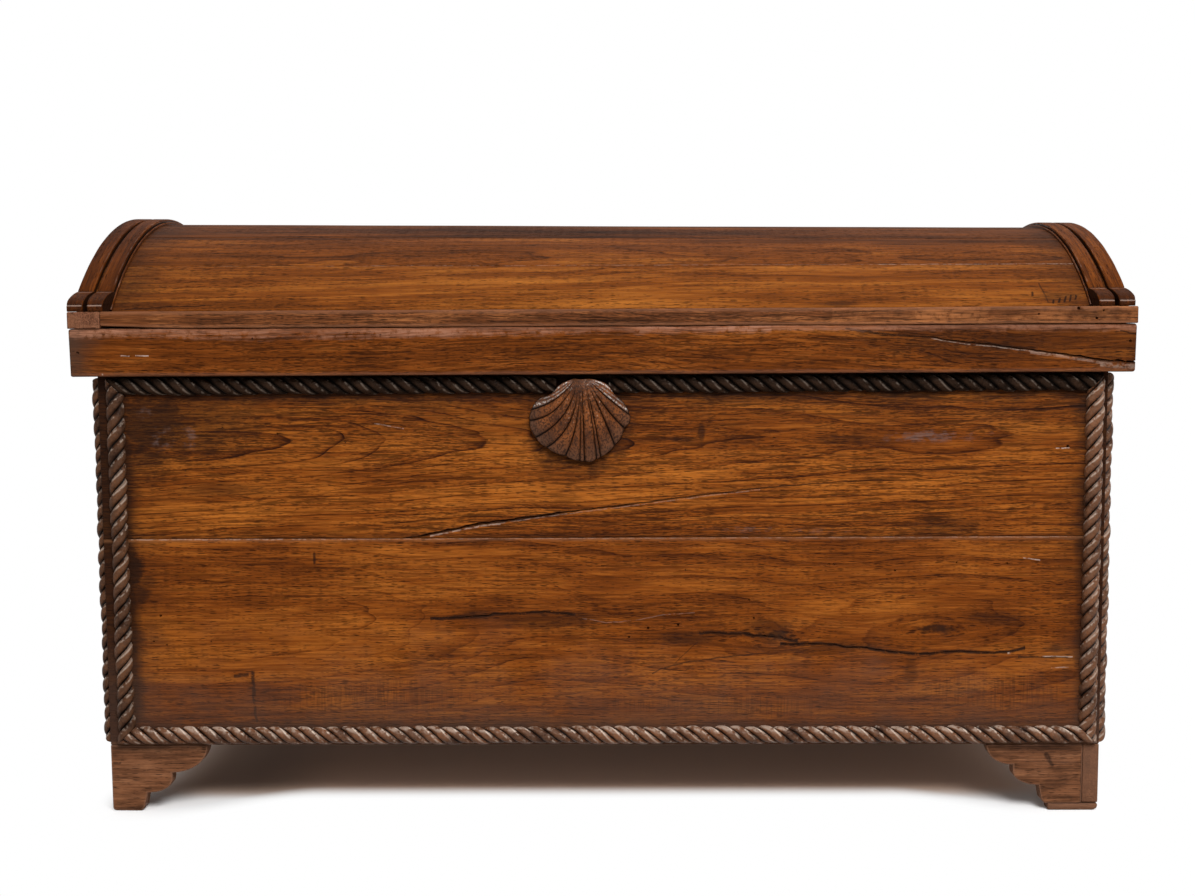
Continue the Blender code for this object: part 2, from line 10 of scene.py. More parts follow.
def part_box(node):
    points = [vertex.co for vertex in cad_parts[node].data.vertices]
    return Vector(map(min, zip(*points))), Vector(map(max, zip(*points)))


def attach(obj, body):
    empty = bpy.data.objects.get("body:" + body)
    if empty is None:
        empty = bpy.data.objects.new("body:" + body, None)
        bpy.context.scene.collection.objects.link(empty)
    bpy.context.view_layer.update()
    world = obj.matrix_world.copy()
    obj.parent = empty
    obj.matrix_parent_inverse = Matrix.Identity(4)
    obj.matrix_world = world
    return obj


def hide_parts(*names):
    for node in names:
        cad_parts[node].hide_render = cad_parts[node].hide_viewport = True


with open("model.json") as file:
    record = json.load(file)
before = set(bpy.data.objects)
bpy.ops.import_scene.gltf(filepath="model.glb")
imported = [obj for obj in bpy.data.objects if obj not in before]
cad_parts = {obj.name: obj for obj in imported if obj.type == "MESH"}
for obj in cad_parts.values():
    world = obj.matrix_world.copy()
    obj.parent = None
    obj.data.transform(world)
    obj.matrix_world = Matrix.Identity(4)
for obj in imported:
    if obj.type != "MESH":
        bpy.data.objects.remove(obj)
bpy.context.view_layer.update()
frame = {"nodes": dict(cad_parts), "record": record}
bodyOf = {
    node: body
    for body, members in frame["record"]["behaviour"]["bodies"].items()
    for node in members
}
fit = 0.0003  # gap that touching pieces keep
noise.seed_set(1)  # without a seed the noise vectors differ from run to run
print("trunk: frame loaded with", len(bodyOf), "nodes")


# Node helpers for shader trees and geometry trees; most find their tree from the sockets they are given

def feed(socket, value):
    if isinstance(value, bpy.types.NodeSocket):
        socket.id_data.links.new(value, socket)
    else:
        socket.default_value = value


def addNode(tree, kind, inputs=None, **settings):
    made = tree.nodes.new(kind)
    for key, value in settings.items():
        setattr(made, key, value)
    for key, value in (inputs or {}).items():
        feed(made.inputs[key], value)
    return made


def joinNode(kind, inputs, **settings):
    # A node in the tree that its first linked input comes from
    tree = next(value.id_data for value in inputs.values() if isinstance(value, bpy.types.NodeSocket))
    return addNode(tree, kind, inputs, **settings)


def calc(operation, *values, clamp=False):
    inputs = dict(enumerate(values))
    return joinNode("ShaderNodeMath", inputs, operation=operation, use_clamp=clamp).outputs[0]


def times(first, *others, clamp=False):
    for other in others:
        first = calc("MULTIPLY", first, other, clamp=clamp)
    return first


def plus(first, second, clamp=False):
    return calc("ADD", first, second, clamp=clamp)


def minus(first, second):
    return calc("SUBTRACT", first, second)


def most(first, second):
    return calc("MAXIMUM", first, second)


def scaled(value, factor, offset, clamp=False):
    return calc("MULTIPLY_ADD", value, factor, offset, clamp=clamp)


def addUp(*terms):
    # Sum of (weight, socket) pairs and plain sockets
    total = 0.0
    for term in terms:
        total = scaled(term[1], term[0], total) if isinstance(term, tuple) else plus(term, total)
    return total


def vectorCalc(operation, *values):
    made = joinNode("ShaderNodeVectorMath", dict(enumerate(values)), operation=operation)
    return made.outputs["Value" if operation in ("LENGTH", "DOT_PRODUCT") else "Vector"]


def stretch(vector, factor):
    inputs = {0: vector, "Scale": factor}
    return joinNode("ShaderNodeVectorMath", inputs, operation="SCALE").outputs["Vector"]


def split(vector):
    return joinNode("ShaderNodeSeparateXYZ", {0: vector}).outputs


def join(x, y, z):
    return joinNode("ShaderNodeCombineXYZ", {0: x, 1: y, 2: z}).outputs[0]


def fade(value, start, end):
    # 0 at start, 1 at end, smooth between
    inputs = {0: value, 1: start, 2: end}
    return joinNode("ShaderNodeMapRange", inputs, interpolation_type="SMOOTHSTEP").outputs[0]


def noiseField(vector, scale, detail=2.0, roughness=0.5, output="Fac"):
    # Scale is in waves for a metre: one number, or one for each direction
    scale = scale if isinstance(scale, tuple) else (scale, scale, scale)
    stretched = vectorCalc("MULTIPLY", vector, scale)
    inputs = {"Vector": stretched, "Scale": 1.0, "Detail": detail, "Roughness": roughness}
    return joinNode("ShaderNodeTexNoise", inputs).outputs[output]


def mixColour(factor, first, second):
    # Plain colours are given as three numbers
    inputs = {0: factor}
    for socket, colour in ((6, first), (7, second)):
        inputs[socket] = colour if isinstance(colour, bpy.types.NodeSocket) else (*colour, 1.0)
    return joinNode("ShaderNodeMix", inputs, data_type="RGBA").outputs[2]


def startGroup(name, inputs, outputs):
    group = bpy.data.node_groups.new(name, "ShaderNodeTree")
    vectors = ("Vector", "Centre", "Size", "From", "Along", "Pull", "Low", "High")
    for labels, way in ((inputs, "INPUT"), (outputs, "OUTPUT")):
        for label in labels.split(", "):
            kind = "Vector" if label in vectors else "Float"
            group.interface.new_socket(name=label, in_out=way, socket_type="NodeSocket" + kind)
    given = group.nodes.new("NodeGroupInput").outputs
    result = group.nodes.new("NodeGroupOutput").inputs
    return group, given, result


def useGroup(group, **inputs):
    named = {key.replace("_", " "): value for key, value in inputs.items()}
    return joinNode("ShaderNodeGroup", named, node_tree=group).outputs


def seeded(vector, seed):
    return vectorCalc("ADD", vector, join(seed, times(seed, 1.7), seed))


def startMaterial(name, *attributes):
    # A material with its shader, Object coordinates and the pieces' own attributes
    material = bpy.data.materials.new(name)
    material.use_nodes = True
    tree = material.node_tree
    place = addNode(tree, "ShaderNodeTexCoord").outputs["Object"]
    read = [addNode(tree, "ShaderNodeAttribute", attribute_name=key).outputs["Fac"] for key in attributes]
    return material, tree.nodes["Principled BSDF"], place, *read


def finishShader(shader, colour, rough, height, strength, distance):
    feed(shader.inputs["Base Color"], colour)
    feed(shader.inputs["Roughness"], rough)
    bump = joinNode("ShaderNodeBump", {"Height": height, "Strength": strength, "Distance": distance})
    feed(shader.inputs["Normal"], bump.outputs["Normal"])


# Shared wood effects

def makeFlowGroup():
    # Lets the grain wander along a board
    group, given, result = startGroup("grain flow", "Vector, Waver, Seed", "Vector")
    place = seeded(given["Vector"], given["Seed"])
    slow = noiseField(place, (1.5, 5.0, 5.0), 2.0, output="Color")
    brisk = noiseField(place, (11.0, 30.0, 30.0), 1.0, output="Color")
    drift = vectorCalc("SUBTRACT", slow, (0.5, 0.5, 0.5))
    tremble = vectorCalc("SUBTRACT", brisk, (0.5, 0.5, 0.5))
    both = vectorCalc("ADD", drift, vectorCalc("MULTIPLY", tremble, (0.0, 0.14, 0.14)))
    sideways = vectorCalc("MULTIPLY", both, (0.0, 1.0, 1.0))
    feed(result["Vector"], vectorCalc("ADD", given["Vector"], stretch(sideways, given["Waver"])))
    return group


def makeFigureGroup():
    # Year rings about a pith that slants as far as Bend, cut by the board's face into arches and lines
    group, given, result = startGroup(
        "ring figure", "Vector, Pith Depth, Pith Height, Slope, Bend, Ring, Waver, Seed", "Line, Cell, Zone"
    )
    x, y, z = split(given["Vector"])
    place = seeded(given["Vector"], given["Seed"])
    slow = split(noiseField(place, (2.1, 2.6, 2.6), 1.0, output="Color"))
    ripple = noiseField(place, (5.0, 34.0, 34.0), 2.0)
    slanting = calc("SMOOTH_MIN", x, given["Bend"], 0.3)
    swayY, swayZ = (times(given["Waver"], minus(slow[axis], 0.5)) for axis in (0, 1))
    pithY = addUp(given["Pith Depth"], times(given["Slope"], slanting), swayY)
    pithZ = addUp(given["Pith Height"], swayZ)
    reach = vectorCalc("LENGTH", join(0.0, minus(y, pithY), minus(z, pithZ)))
    rings = addUp(calc("DIVIDE", reach, given["Ring"]), (1.3, ripple))
    uneven = joinNode(
        "ShaderNodeTexNoise", {"W": times(rings, 0.41), "Scale": 1.0, "Detail": 1.0}, noise_dimensions="1D"
    ).outputs["Fac"]
    rings = addUp(rings, (2.0, uneven))
    share = calc("FRACT", rings)
    cell = joinNode(
        "ShaderNodeTexWhiteNoise", {"W": calc("FLOOR", rings)}, noise_dimensions="1D"
    ).outputs["Value"]
    thin = times(calc("POWER", share, 15.0), fade(share, 1.0, 0.97))
    broken = fade(noiseField(place, (16.0, 60.0, 60.0), 3.0, 0.6), 0.28, 0.56)
    feed(result["Line"], times(thin, broken, scaled(cell, 0.8, 0.35)))
    feed(result["Cell"], cell)
    feed(result["Zone"], fade(share, 0.15, 0.85))
    return group


def makeFibreGroup():
    # Streaks, fine fibres and dark pores that lie along the grain, most of them in each ring's dense zone
    group, given, result = startGroup(
        "wood fibre", "Vector, Density, Zone, Seed", "Streak, Fibre, Dash, Pore"
    )
    place = seeded(given["Vector"], given["Seed"])
    feed(result["Streak"], noiseField(place, (3.2, 85.0, 85.0), 4.0, 0.65))
    feed(result["Fibre"], noiseField(place, (16.0, 430.0, 430.0), 3.0, 0.65))
    crowd = fade(noiseField(place, (5.0, 24.0, 24.0), 3.0), 0.24, 0.6)
    long = fade(noiseField(place, (19.0, 430.0, 430.0), 2.0, 0.6), 0.48, 0.39)
    short = fade(noiseField(place, (56.0, 620.0, 620.0), 2.0, 0.6), 0.46, 0.38)
    feed(result["Dash"], times(most(long, times(short, 0.85)), scaled(crowd, 0.55, 0.45)))
    chance = times(given["Density"], crowd, scaled(given["Zone"], 0.6, 0.5))
    pores = 0.0
    for scale, strength in (((70.0, 640.0, 640.0), 1.0), ((150.0, 880.0, 880.0), 0.75)):
        inputs = {"Vector": vectorCalc("MULTIPLY", place, scale), "Scale": 1.0}
        cells = joinNode("ShaderNodeTexVoronoi", inputs).outputs
        kept = calc("LESS_THAN", split(cells["Color"])[0], chance)
        pores = most(pores, times(fade(cells["Distance"], 0.46, 0.2), kept, strength))
    feed(result["Pore"], pores)
    return group


def makeKnotGroup():
    # Grain that parts round a knot, and the knot's dark heart
    group, given, result = startGroup("knot", "Vector, Centre, Run, Rise, Seed", "Vector, Mask")
    away = split(vectorCalc("SUBTRACT", given["Vector"], given["Centre"]))
    far = plus(*[
        calc("POWER", calc("ABSOLUTE", calc("DIVIDE", away[axis], given[size])), 2.0)
        for axis, size in (("X", "Run"), ("Z", "Rise"))
    ])
    pull = calc("EXPONENT", times(far, -1.0))
    lift = join(0.0, 0.0, times(away["Z"], pull, -0.8))
    feed(result["Vector"], vectorCalc("ADD", given["Vector"], lift))
    ragged = noiseField(seeded(given["Vector"], given["Seed"]), (90.0, 160.0, 160.0), 3.0)
    core = scaled(minus(ragged, 0.5), 1.2, calc("SQRT", far))
    swirl = calc("POWER", calc("FRACT", times(core, 2.6)), 5.0)
    feed(result["Mask"], most(fade(core, 0.5, 0.08), times(swirl, pull, 0.75)))
    return group


def makeSpotGroup():
    # Ragged patch about a point of the face
    group, given, result = startGroup("spot", "Vector, Centre, Size, Ragged, Seed", "Mask")
    away = vectorCalc("DIVIDE", vectorCalc("SUBTRACT", given["Vector"], given["Centre"]), given["Size"])
    reach = vectorCalc("LENGTH", vectorCalc("MULTIPLY", away, (1.0, 0.0, 1.0)))
    rough = noiseField(seeded(given["Vector"], given["Seed"]), (47.0, 97.0, 97.0), 5.0, 0.72)
    feed(result["Mask"], fade(scaled(minus(rough, 0.5), given["Ragged"], reach), 1.0, 0.35))
    return group


def makeMarkGroup():
    # Line from a point of the face along a run; Pull is the run over its squared length
    group, given, result = startGroup("mark", "Vector, From, Along, Pull, Width", "Mask")
    away = vectorCalc("SUBTRACT", given["Vector"], given["From"])
    share = plus(vectorCalc("DOT_PRODUCT", away, given["Pull"]), 0.0, clamp=True)
    gap = vectorCalc("LENGTH", vectorCalc("SUBTRACT", away, stretch(given["Along"], share)))
    feed(result["Mask"], fade(gap, given["Width"], times(given["Width"], 0.25)))
    return group


def makeBorderGroup():
    # Grime and painted shade that gather along the edges of a panel
    group, given, result = startGroup("border grime", "Vector, Low, High, Reach, Seed", "Mask")
    fromLow = vectorCalc("SUBTRACT", given["Vector"], given["Low"])
    fromHigh = vectorCalc("SUBTRACT", given["High"], given["Vector"])
    inside = split(vectorCalc("MINIMUM", fromLow, fromHigh))
    rough = noiseField(seeded(given["Vector"], given["Seed"]), (14.0, 20.0, 20.0), 4.0, 0.6)
    swing = times(minus(rough, 0.5), times(given["Reach"], 1.6))
    gap = plus(calc("MINIMUM", inside["X"], inside["Z"]), swing)
    feed(result["Mask"], fade(gap, given["Reach"], times(given["Reach"], -0.25)))
    return group


flowGroup = makeFlowGroup()
figureGroup = makeFigureGroup()
fibreGroup = makeFibreGroup()
knotGroup = makeKnotGroup()
spotGroup = makeSpotGroup()
markGroup = makeMarkGroup()
borderGroup = makeBorderGroup()


# Old waxed wood

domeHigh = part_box("lid_stave_4")[1]
crownHeight = domeHigh.z
domeRadius = 0.378
domeCentre = crownHeight - domeRadius
staveThickness = 0.016


def layGrain(place, grain):
    # Turns places so that x runs along the grain, y into the wood and z across it
    if grain == "x":
        return place
    x, y, z = split(place)
    if grain == "y":
        return join(y, x, z)
    rise = minus(z, domeCentre)
    depth = minus(domeRadius, vectorCalc("LENGTH", join(0.0, y, rise)))
    run = times(calc("ARCTAN2", y, rise), domeRadius)
    return join(x, depth, run) if grain == "dome" else join(run, depth, x)


woodDefaults = {
    "grain": "x", "seed": 0.0,
    "pith": (-0.15, 0.3), "slope": 0.05, "bend": 5.0, "ring": 0.008, "ringWaver": 0.06, "waver": 0.02,
    "tones": ((0.0, (0.012, 0.0034, 0.0012)), (0.3, (0.066, 0.015, 0.0026)),
              (0.6, (0.18, 0.0445, 0.0055)), (1.0, (0.41, 0.126, 0.0165))),
    "level": 0.7, "cell": 0.15, "line": 0.55, "streak": 0.5, "fibre": 0.75, "blotch": 0.66, "dash": 0.6,
    "blotchScale": (6.0, 17.0, 17.0), "density": 0.62, "pore": 0.82,
    "wornColour": (0.25, 0.095, 0.04), "worn": 0.0, "grimeColour": (0.014, 0.006, 0.0035),
    "bloomColour": (0.13, 0.085, 0.075), "bloom": 0.0, "scratchColour": (0.48, 0.36, 0.29),
    "bareColours": ((0.085, 0.042, 0.018), (0.27, 0.15, 0.072)), "barePore": (0.05, 0.025, 0.012),
    "roughness": 0.46, "gloss": 0.04, "coat": 0.0, "coatRoughness": 0.25, "coatBend": 1.12,
    "relief": 0.45, "reliefDepth": 0.0016,
}


def followPath(across, up, path, width):
    # Mask of a line through (x, z) points that run from left to right
    first, last = path[0][0], path[-1][0]
    low = min(z for x, z in path) - 0.001
    span = max(z for x, z in path) + 0.001 - low
    share = joinNode("ShaderNodeMapRange", {0: across, 1: first, 2: last}, clamp=False).outputs[0]
    bend = joinNode("ShaderNodeFloatCurve", {"Value": share})
    points = bend.mapping.curves[0].points
    while len(points) < len(path):
        points.new(0.5, 0.5)
    for point, (x, z) in zip(points, path):
        point.location = ((x - first) / (last - first), (z - low) / span)
        point.handle_type = "VECTOR"
    bend.mapping.update()
    gap = calc("ABSOLUTE", minus(scaled(bend.outputs[0], -span, up), low))
    within = calc("COMPARE", share, 0.5, 0.5)
    return times(fade(gap, width, 0.25 * width), within)


def straightMarks(flat, path, width):
    # Mask of straight pieces between (x, z) points, for paths that stand upright
    mask = 0.0
    for (x0, z0), (x1, z1) in zip(path, path[1:]):
        run = Vector((x1 - x0, 0.0, z1 - z0))
        pull = run / run.length_squared
        made = useGroup(markGroup, Vector=flat, From=(x0, 0.0, z0), Along=run, Pull=pull, Width=width)
        mask = most(mask, made["Mask"])
    return mask


def pathMask(place, entries, ragged, gaps, seed):
    # Strongest of the marks along paths of (x, z) points, shaken and rubbed through in places
    shifted = seeded(place, seed)
    rough = noiseField(shifted, 85.0, 3.0, output="Color")
    shaken = stretch(vectorCalc("SUBTRACT", rough, (0.5, 0.5, 0.5)), ragged)
    flat = vectorCalc("MULTIPLY", vectorCalc("ADD", place, shaken), (1.0, 0.0, 1.0))
    parts = split(flat)
    mask = 0.0
    for path, width, strength in entries:
        (x0, z0), (x1, z1) = path[0], path[-1]
        if abs(x1 - x0) > abs(z1 - z0):
            made = followPath(parts["X"], parts["Z"], path, width)
        else:
            made = straightMarks(flat, path, width)
        mask = most(mask, times(made, strength))
    rub = noiseField(shifted, 140.0, 3.0, 0.7)
    return times(mask, fade(rub, 0.12 + 0.45 * gaps, 0.36 + 0.45 * gaps))


def spotMasks(place, entries, ragged, seed):
    for x, z, sizeX, sizeZ, strength in entries:
        size = (sizeX, 1.0, sizeZ)
        made = useGroup(spotGroup, Vector=place, Centre=(x, 0.0, z), Size=size, Ragged=ragged, Seed=seed)
        yield times(made["Mask"], strength)


def borderMasks(place, entries, seed):
    for low, high, reach, strength in entries:
        made = useGroup(borderGroup, Vector=place, Low=low, High=high, Reach=reach, Seed=seed)
        yield times(made["Mask"], strength)


def bareMask(place, laid, bare):
    # 1 on the faces that look into the trunk
    if bare == "dome":
        parts = split(laid)
        within = fade(calc("ABSOLUTE", parts["X"]), domeHigh.x - 0.001, domeHigh.x - 0.002)
        return times(within, fade(parts["Y"], 0.54 * staveThickness, 0.6 * staveThickness))
    parts = split(place)
    within = [fade(calc("ABSOLUTE", parts[axis]), half, half - 0.0006) for axis, half in zip("XY", bare)]
    return times(*within)


def makeOldWood(name, **changes):
    look = dict(woodDefaults, **changes)
    material, shader, place, tone, wear = startMaterial(name, "tone", "wear")
    laid = layGrain(place, look["grain"])
    seed = scaled(tone, 40.0, look["seed"])

    # Knots bend the grain before anything else reads it
    bent = laid
    dark = 0.0
    for x, z, run, rise in look.get("knots", ()):
        made = useGroup(knotGroup, Vector=bent, Centre=(x, 0.0, z), Run=run, Rise=rise, Seed=seed)
        bent = made["Vector"]
        dark = most(dark, times(made["Mask"], 0.85))
    flow = useGroup(flowGroup, Vector=bent, Waver=look["waver"], Seed=seed)["Vector"]
    rings = useGroup(
        figureGroup, Vector=flow, Pith_Depth=look["pith"][0], Pith_Height=look["pith"][1],
        Slope=look["slope"], Bend=look["bend"], Ring=look["ring"], Waver=look["ringWaver"], Seed=seed,
    )
    grain = useGroup(fibreGroup, Vector=flow, Density=look["density"], Zone=rings["Zone"], Seed=seed)
    blotch = noiseField(seeded(flow, seed), look["blotchScale"], 4.0, 0.62)
    depth = addUp(
        tone, (look["cell"], rings["Cell"]), (-look["line"], rings["Line"]),
        (look["streak"], grain["Streak"]), (look["fibre"], grain["Fibre"]), (-look["blotch"], blotch),
    )
    middle = 0.5 * (look["cell"] + look["streak"] + look["fibre"] - look["blotch"])
    ramp = joinNode("ShaderNodeValToRGB", {0: plus(depth, look["level"] - middle)})
    elements = ramp.color_ramp.elements
    elements.remove(elements[1])
    for count, (stop, colour) in enumerate(look["tones"]):
        element = elements.new(stop) if count else elements[0]
        element.position = stop
        element.color = (*colour, 1.0)
    combed = most(times(grain["Dash"], look["dash"]), times(grain["Pore"], look["pore"]))
    colour = mixColour(combed, ramp.outputs[0], look["tones"][0][1])

    # Stains, marks, old saw marks across the grain, grime with painted shade along the borders, and dirt with
    # painted shade along the cracks darken the face
    for mask in spotMasks(bent, look.get("stains", ()), 1.3, seed):
        dark = most(dark, mask)
    if "marks" in look:
        dark = most(dark, pathMask(laid, look["marks"], 0.004, 0.22, seed))
    for mask in borderMasks(laid, look.get("borders", ()), seed):
        dark = most(dark, mask)
    if "saw" in look:
        teeth = fade(noiseField(laid, (400.0, 1.0, 16.0), 2.0, 0.6), 0.56, 0.42)
        for mask in spotMasks(laid, look["saw"], 1.6, seed):
            dark = most(dark, times(mask, teeth))
    if isinstance(dark, bpy.types.NodeSocket):
        colour = mixColour(dark, colour, look["grimeColour"])
    # Wear below zero, on the bands' sides, groove and foot faces, darkens with dirt and painted shade
    colour = mixColour(times(fade(wear, -0.1, -1.0), 0.9), colour, look["grimeColour"])

    # Rubbed edges, with painted highlights on the bands' lip and shoulder edges, and a pale bloom where the
    # wax has gone dull
    breakUp = noiseField(seeded(place, seed), 60.0, 4.0, 0.6)
    if look["worn"]:
        rubbed = fade(scaled(breakUp, 0.9, wear), 0.75, 1.35)
        colour = mixColour(times(rubbed, look["worn"]), colour, look["wornColour"])
    dull = fade(noiseField(seeded(flow, seed), (7.0, 30.0, 30.0), 5.0, 0.7), 0.56, 0.74)
    if look["bloom"]:
        colour = mixColour(times(dull, look["bloom"]), colour, look["bloomColour"])
    for mask in borderMasks(laid, look.get("dust", ()), seed):
        colour = mixColour(mask, colour, look["bloomColour"])
    for mask in spotMasks(bent, look.get("blooms", ()), 2.4, seed):
        patchy = times(fade(breakUp, 0.42, 0.62), fade(grain["Fibre"], 0.3, 0.62))
        colour = mixColour(times(mask, patchy), colour, look["bloomColour"])
    # The rubs are wear and, along the front rail's top edge, a painted highlight
    if "rubs" in look:
        rubs = times(pathMask(laid, look["rubs"], 0.008, 0.42, seed), fade(grain["Fibre"], 0.3, 0.62))
        rubColour = look.get("rubColour", look["wornColour"])
        colour = mixColour(times(rubs, fade(blotch, 0.7, 0.46)), colour, rubColour)
    # The scratches include painted highlights below cracks and at the seam
    if "scratches" in look:
        pale = pathMask(laid, look["scratches"], 0.002, 0.52, seed)
        colour = mixColour(pale, colour, look["scratchColour"])

    # Faces inside the trunk were never waxed
    rough = addUp((0.16, blotch), (0.2, grain["Fibre"]), (0.25, grain["Pore"]), (0.12, dull))
    rough = plus(rough, look["roughness"] - 0.18)
    if "bare" in look:
        bare = bareMask(place, laid, look["bare"])
        dusty = mixColour(scaled(grain["Streak"], 1.6, -0.3, clamp=True), *look["bareColours"])
        dusty = mixColour(times(grain["Pore"], 0.5), dusty, look["barePore"])
        colour = mixColour(bare, colour, dusty)
        rough = scaled(bare, 0.3, rough)
    for label, key in (("Specular IOR Level", "gloss"), ("Coat Weight", "coat"),
                       ("Coat Roughness", "coatRoughness"), ("Coat IOR", "coatBend")):
        shader.inputs[label].default_value = look[key]
    wave = noiseField(place, (9.0, 30.0, 30.0), 1.0)
    height = addUp(
        (0.3, grain["Fibre"]), (0.2, grain["Streak"]), (-0.45, grain["Dash"]), (-0.55, grain["Pore"]),
        (0.9, wave)
    )
    finishShader(shader, colour, rough, height, look["relief"], look["reliefDepth"])
    return material


# Mesh helpers

def addObject(name, bm):
    mesh = bpy.data.meshes.new(name)
    bmesh.ops.recalc_face_normals(bm, faces=bm.faces)
    bm.to_mesh(mesh)
    bm.free()
    made = bpy.data.objects.new(name, mesh)
    bpy.context.scene.collection.objects.link(made)
    return made


def settle(piece):
    # Turns a piece and its modifiers into one plain mesh
    graph = bpy.context.evaluated_depsgraph_get()
    mesh = bpy.data.meshes.new_from_object(piece.evaluated_get(graph))
    piece.modifiers.clear()
    piece.data = mesh


def cutAway(piece, cutter):
    made = piece.modifiers.new("cut", "BOOLEAN")
    made.operation = "DIFFERENCE"
    made.solver = "EXACT"
    made.object = cutter
    settle(piece)
    bpy.data.objects.remove(cutter, do_unlink=True)


def finishPiece(piece, node, material, tone=0.0, sharp=38):
    mesh = piece.data
    mesh.materials.clear()
    mesh.materials.append(material)
    tones = mesh.attributes.new("tone", "FLOAT", "POINT")
    tones.data.foreach_set("value", [tone] * len(mesh.vertices))
    mesh.shade_smooth()
    mesh.set_sharp_from_angle(angle=math.radians(sharp))
    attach(piece, bodyOf[node])
    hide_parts(node)


def flatShares(length, spacing, margin):
    # Where extra points stand along a flat: close to both edges, then evenly between
    if length < 3 * margin:
        return [0.5]
    inner = length - 2 * margin
    count = max(1, round(inner / spacing))
    return [(margin + inner * i / count) / length for i in range(count + 1)]


def roundedSection(halfB, halfC, radii, shares):
    # Once round a bar with rounded corners: across, up and wear of each point
    arcSteps = 4
    corners = ((1, 1), (-1, 1), (-1, -1), (1, -1))
    arcs = []
    for turn, (signB, signC) in enumerate(corners):
        radius = min(radii[turn], 0.9 * halfB, 0.9 * halfC)
        arc = []
        for step in range(arcSteps + 1):
            angle = math.pi / 2 * (turn + step / arcSteps)
            across = signB * (halfB - radius) + radius * math.cos(angle)
            up = signC * (halfC - radius) + radius * math.sin(angle)
            arc.append((across, up, 1.0))
        arcs.append(arc)
    points = []
    for turn, arc in enumerate(arcs):
        points += arc
        start, end = arc[-1], arcs[(turn + 1) % 4][0]
        for share in shares[turn % 2]:
            between = [start[axis] + (end[axis] - start[axis]) * share for axis in (0, 1)]
            points.append((*between, 0.0))
    return points


def skin(bm, rings, closed=True):
    # Joins rings of equal counts into one skin, capped at its end and, when closed, at its start too
    for ring, following in zip(rings, rings[1:]):
        for i in range(len(ring)):
            j = (i + 1) % len(ring)
            bm.faces.new((ring[i], ring[j], following[j], following[i]))
    if closed:
        bm.faces.new(rings[0])
    bm.faces.new(rings[-1])


barDefaults = {"margin": 0.006, "step": 0.014, "sway": 0.0003, "least": 0.0003}


def wornBar(name, low, high, grain, changes, reshape=None):
    # Bar along one axis whose edges are rubbed unevenly and whose faces sway a little
    edge = dict(barDefaults, **changes)
    bm = bmesh.new()
    wear = bm.verts.layers.float.new("wear")
    axisB, axisC = [axis for axis in range(3) if axis != grain]
    halfB, halfC = (high[axisB] - low[axisB]) / 2, (high[axisC] - low[axisC]) / 2
    middle = (Vector(low) + Vector(high)) / 2
    shares = [flatShares(2 * half, edge["column"], edge["margin"]) for half in (halfB, halfC)]
    length = high[grain] - low[grain]
    endRound = edge["end"]
    stations = []
    for step in range(4):
        angle = math.pi / 2 * step / 3
        stations.append((endRound * (1 - math.cos(angle)), endRound * (1 - math.sin(angle))))
    count = max(2, round(length / edge["step"]))
    between = [(endRound + (length - 2 * endRound) * i / count, 0.0) for i in range(1, count)]
    stations = stations + between + [(length - along, inset) for along, inset in reversed(stations)]
    rings = []
    for along, inset in stations:
        worn = []
        for corner, radius in enumerate(edge["radii"]):
            sway = noise.noise(Vector((along * 9.0, edge["seed"], corner * 7.3)))
            nick = max(0.0, noise.noise(Vector((along * 47.0, edge["seed"] + 3.1, corner * 5.7))) - 0.32)
            worn.append(max(edge["least"], radius * (1 + 0.55 * sway + 1.6 * nick) - inset))
        ring = []
        for across, up, rubbed in roundedSection(halfB - inset, halfC - inset, worn, shares):
            place = Vector((0.0, 0.0, 0.0))
            place[grain] = low[grain] + along
            place[axisB] = middle[axisB] + across
            place[axisC] = middle[axisC] + up
            drift = noise.noise_vector(place * 8.0 + Vector((edge["seed"], 0.0, 0.0)))
            drift[grain] = 0.0
            place += drift * edge["sway"]
            vertex = bm.verts.new(reshape(place) if reshape else place)
            vertex[wear] = rubbed
            ring.append(vertex)
        rings.append(ring)
    skin(bm, rings)
    return addObject(name, bm)


def blockCutter(low, high):
    bm = bmesh.new()
    bmesh.ops.create_cube(bm, size=1.0)
    size = Vector(high) - Vector(low)
    for vertex in bm.verts:
        vertex.co = Vector(low) + Vector([(vertex.co[axis] + 0.5) * size[axis] for axis in range(3)])
    return addObject("cutter", bm)


def crackCutter(bm, path, face, depth, seed):
    # Ragged wedge that follows a path of (x, z, width) on a face that looks along -Y
    lead, proud = 0.004, 0.002
    samples = []
    for start, end in zip(path, path[1:]):
        count = max(1, round(math.hypot(end[0] - start[0], end[1] - start[1]) / lead))
        samples += [[a + (b - a) * i / count for a, b in zip(start, end)] for i in range(count)]
    samples.append(path[-1])
    rings = []
    for number, (x, z, width) in enumerate(samples):
        before, after = samples[max(0, number - 1)], samples[min(len(samples) - 1, number + 1)]
        run = Vector((after[0] - before[0], after[1] - before[1])).normalized()
        normal = Vector((-run.y, run.x))
        slow, brisk = noise.noise(Vector((x * 95.0, seed, 0.0))), noise.noise(Vector((x * 240.0, seed, 9.0)))
        jitter = (slow + 0.6 * brisk) * min(0.0016, 0.5 * width + 0.0004)
        spread = width * (0.9 + 0.7 * noise.noise(Vector((x * 210.0, seed, 4.0))))
        centre = Vector((x, z)) + normal * jitter
        upper, lower = centre + normal * spread * 0.55, centre - normal * spread * 0.55
        root = centre + normal * 0.8 * width
        rings.append([
            bm.verts.new((upper.x, face - proud, upper.y)), bm.verts.new((lower.x, face - proud, lower.y)),
            bm.verts.new((root.x, face + depth * min(1.0, 0.35 + width / 0.002), root.y)),
        ])
    skin(bm, rings)


